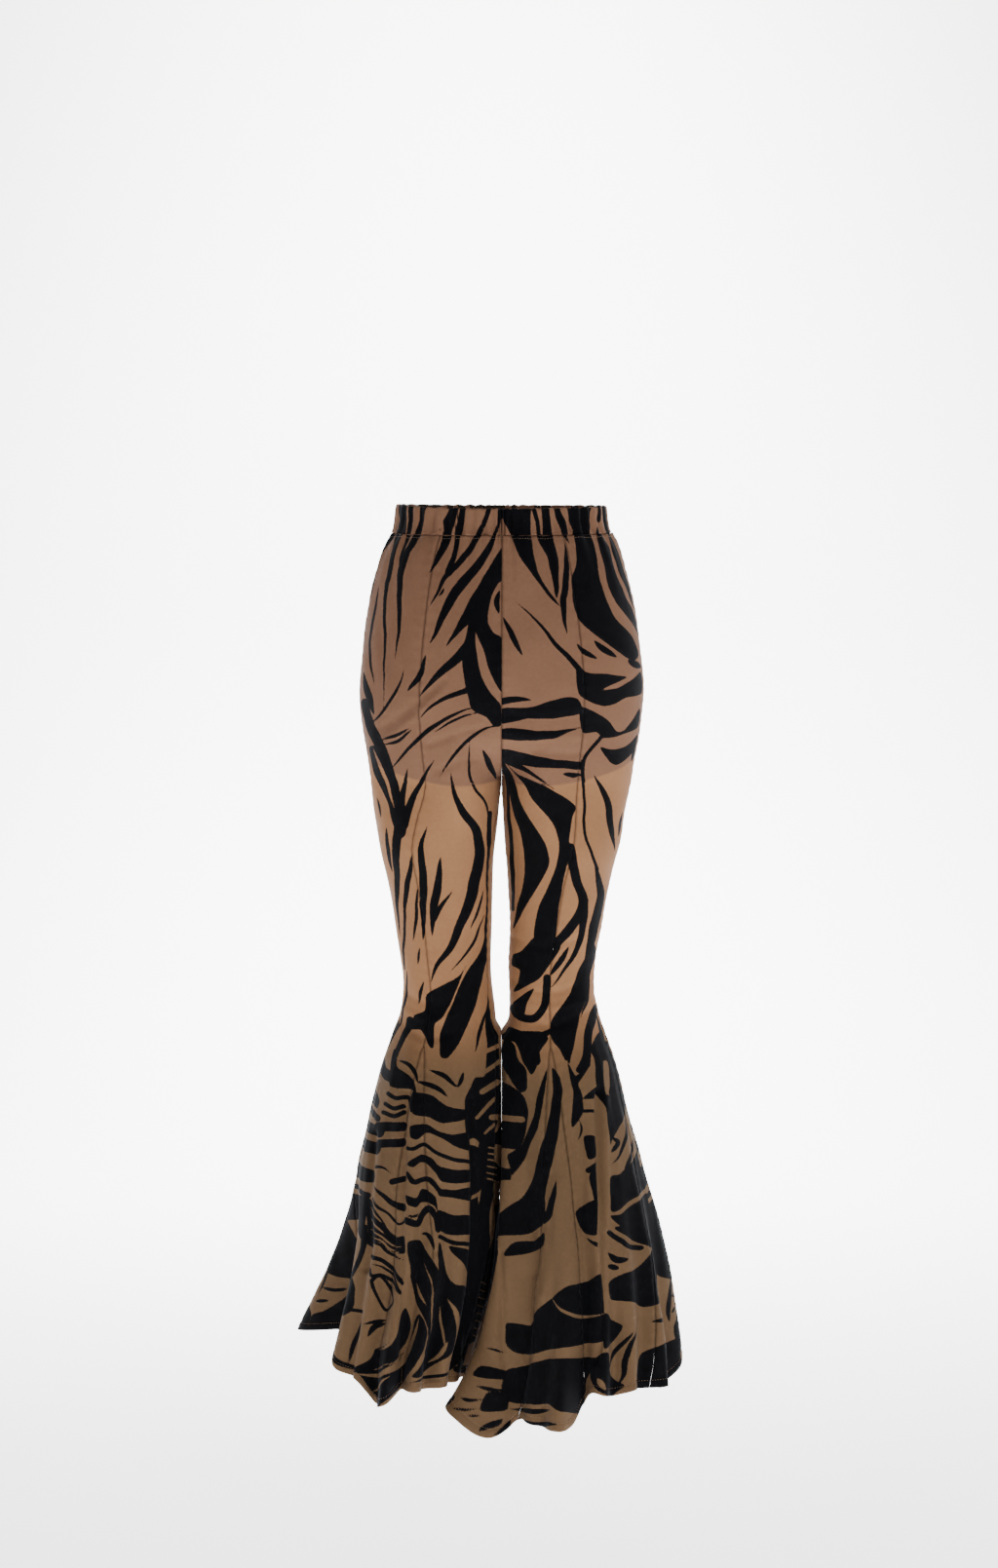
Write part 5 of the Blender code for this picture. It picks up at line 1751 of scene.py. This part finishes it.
def add_stitches(name, line, tree, sockets, pitch):
    """A piece of stitches along a closed line of points."""
    path = bpy.data.curves.new(name, "CURVE")
    path.dimensions = "3D"
    spline = path.splines.new("POLY")
    spline.points.add(len(line) - 1)
    spline.points.foreach_set("co", np.column_stack([line, np.ones(len(line))]).ravel())
    spline.use_cyclic_u = True
    holder = bpy.data.objects.new(f"{name}_line", path)
    bpy.context.scene.collection.objects.link(holder)
    modifier = holder.modifiers.new("stitches", "NODES")
    modifier.node_group = tree
    modifier[sockets["Stitch Pitch"]] = pitch
    modifier[sockets["Stitch Length"]] = STITCH_LENGTH
    modifier[sockets["Thread Width"]] = THREAD_WIDTH
    evaluated = holder.evaluated_get(bpy.context.evaluated_depsgraph_get())
    mesh = bpy.data.meshes.new_from_object(evaluated)
    bpy.data.objects.remove(holder)
    item = bpy.data.objects.new(name, mesh)
    bpy.context.scene.collection.objects.link(item)
    return item


def seam_line(leg, drop, lift):
    """Points along a level of one leg's cloth, as folded."""
    place = np.linspace(0, 1, 600, endpoint=False)
    level = np.full_like(place, drop)
    points, normals = skin(leg, place, level), outward(leg, place, level)
    offset = lift + waist_gathers(leg, place, level) + flare_ripples(leg, place, level)
    offset = offset + unevenness(points)
    return points + normals * offset[:, None]


def make_stitches(material):
    """The row under the waistband and the rows round both hems."""
    tree, sockets = stitch_tree(material)
    right = seam_line("right", WAIST_STITCH_LEVEL, THREAD_LIFT)
    left = seam_line("left", WAIST_STITCH_LEVEL, THREAD_LIFT)
    rows = {"stitches_waist": add_stitches("stitches_waist", np.concatenate([right, left[::-1]]),
                                           tree, sockets, WAIST_STITCH_PITCH)}
    for leg in SIDES:
        line = seam_line(leg, HEM_STITCH_LEVEL, THREAD_LIFT)
        name = f"stitches_hem_{leg}"
        rows[name] = add_stitches(name, line, tree, sockets, HEM_STITCH_PITCH)
    return rows


# ---------------------------------------------------------------- stage, lights and camera

def make_stage(material):
    """A floor that curves up into a backdrop."""
    profile = [(STAGE_NEAR, FLOOR), (STAGE_BEND, FLOOR)]
    for step in range(1, SWEEP_STEPS + 1):
        bend = math.radians(90 * step / SWEEP_STEPS)
        y, z = STAGE_BEND + SWEEP * math.sin(bend), FLOOR + SWEEP * (1 - math.cos(bend))
        profile.append((y, z))
    profile.append((STAGE_BEND + SWEEP, STAGE_TOP))
    sides = (-STAGE_HALF_WIDTH, STAGE_HALF_WIDTH)
    vertices = [(x, y, z) for y, z in profile for x in sides]
    faces = [(2 * i, 2 * i + 1, 2 * i + 3, 2 * i + 2) for i in range(len(profile) - 1)]
    floor = add_mesh("studio_sweep", vertices, faces, material)


def add_light(name, place, target, size, watts, spread=180):
    """A soft square light turned to a target."""
    data = bpy.data.lights.new(name, "AREA")
    data.shape = "SQUARE"
    data.size = size
    data.energy = watts
    data.spread = math.radians(spread)
    item = bpy.data.objects.new(name, data)
    item.location = place
    direction = Vector(target) - Vector(place)
    item.rotation_euler = direction.to_track_quat("-Z", "Y").to_euler()
    bpy.context.scene.collection.objects.link(item)


def make_lights():
    """Large soft lights from the front and both sides, and a bright room."""
    add_light("key_softbox", (1.5, -2.8, 1.1), (0, 0, -0.5), 0.7, 50)
    add_light("fill_softbox", (-1.9, -3.2, 0.4), (0, 0, -0.6), 2.0, 6)
    add_light("backdrop_light", (0, 1.1, 2.2), (0, 2.5, -0.9), 1.6, 150, spread=70)
    world = bpy.data.worlds.new("studio_room")
    world.use_nodes = True
    background = world.node_tree.nodes["Background"]
    background.inputs["Color"].default_value = (1, 1, 1, 1)
    background.inputs["Strength"].default_value = 0.13
    bpy.context.scene.world = world


def make_camera():
    """The camera behind the trousers, a little above the waist."""
    data = bpy.data.cameras.new("camera")
    data.lens = LENS
    data.sensor_width = SENSOR
    camera = bpy.data.objects.new("camera", data)
    camera.location = CAMERA_PLACE
    camera.rotation_euler = (math.radians(CAMERA_TURN), 0, 0)
    bpy.context.scene.collection.objects.link(camera)
    bpy.context.scene.camera = camera


# ---------------------------------------------------------------- the whole garment

flocked, lining = flocked_mesh_material(), lining_material()
pieces = make_legs(flocked)
pieces["waistband"] = make_waistband(flocked)
pieces["lining_back"] = make_lining("lining_back", 0.0, lining)
pieces["lining_front"] = make_lining("lining_front", 1.0, lining)
stitches = make_stitches(thread_material())

for name, piece in pieces.items():
    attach(piece, BODY)
    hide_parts(name)
for piece in stitches.values():
    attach(piece, BODY)

make_stage(paper_material())
make_lights()
make_camera()
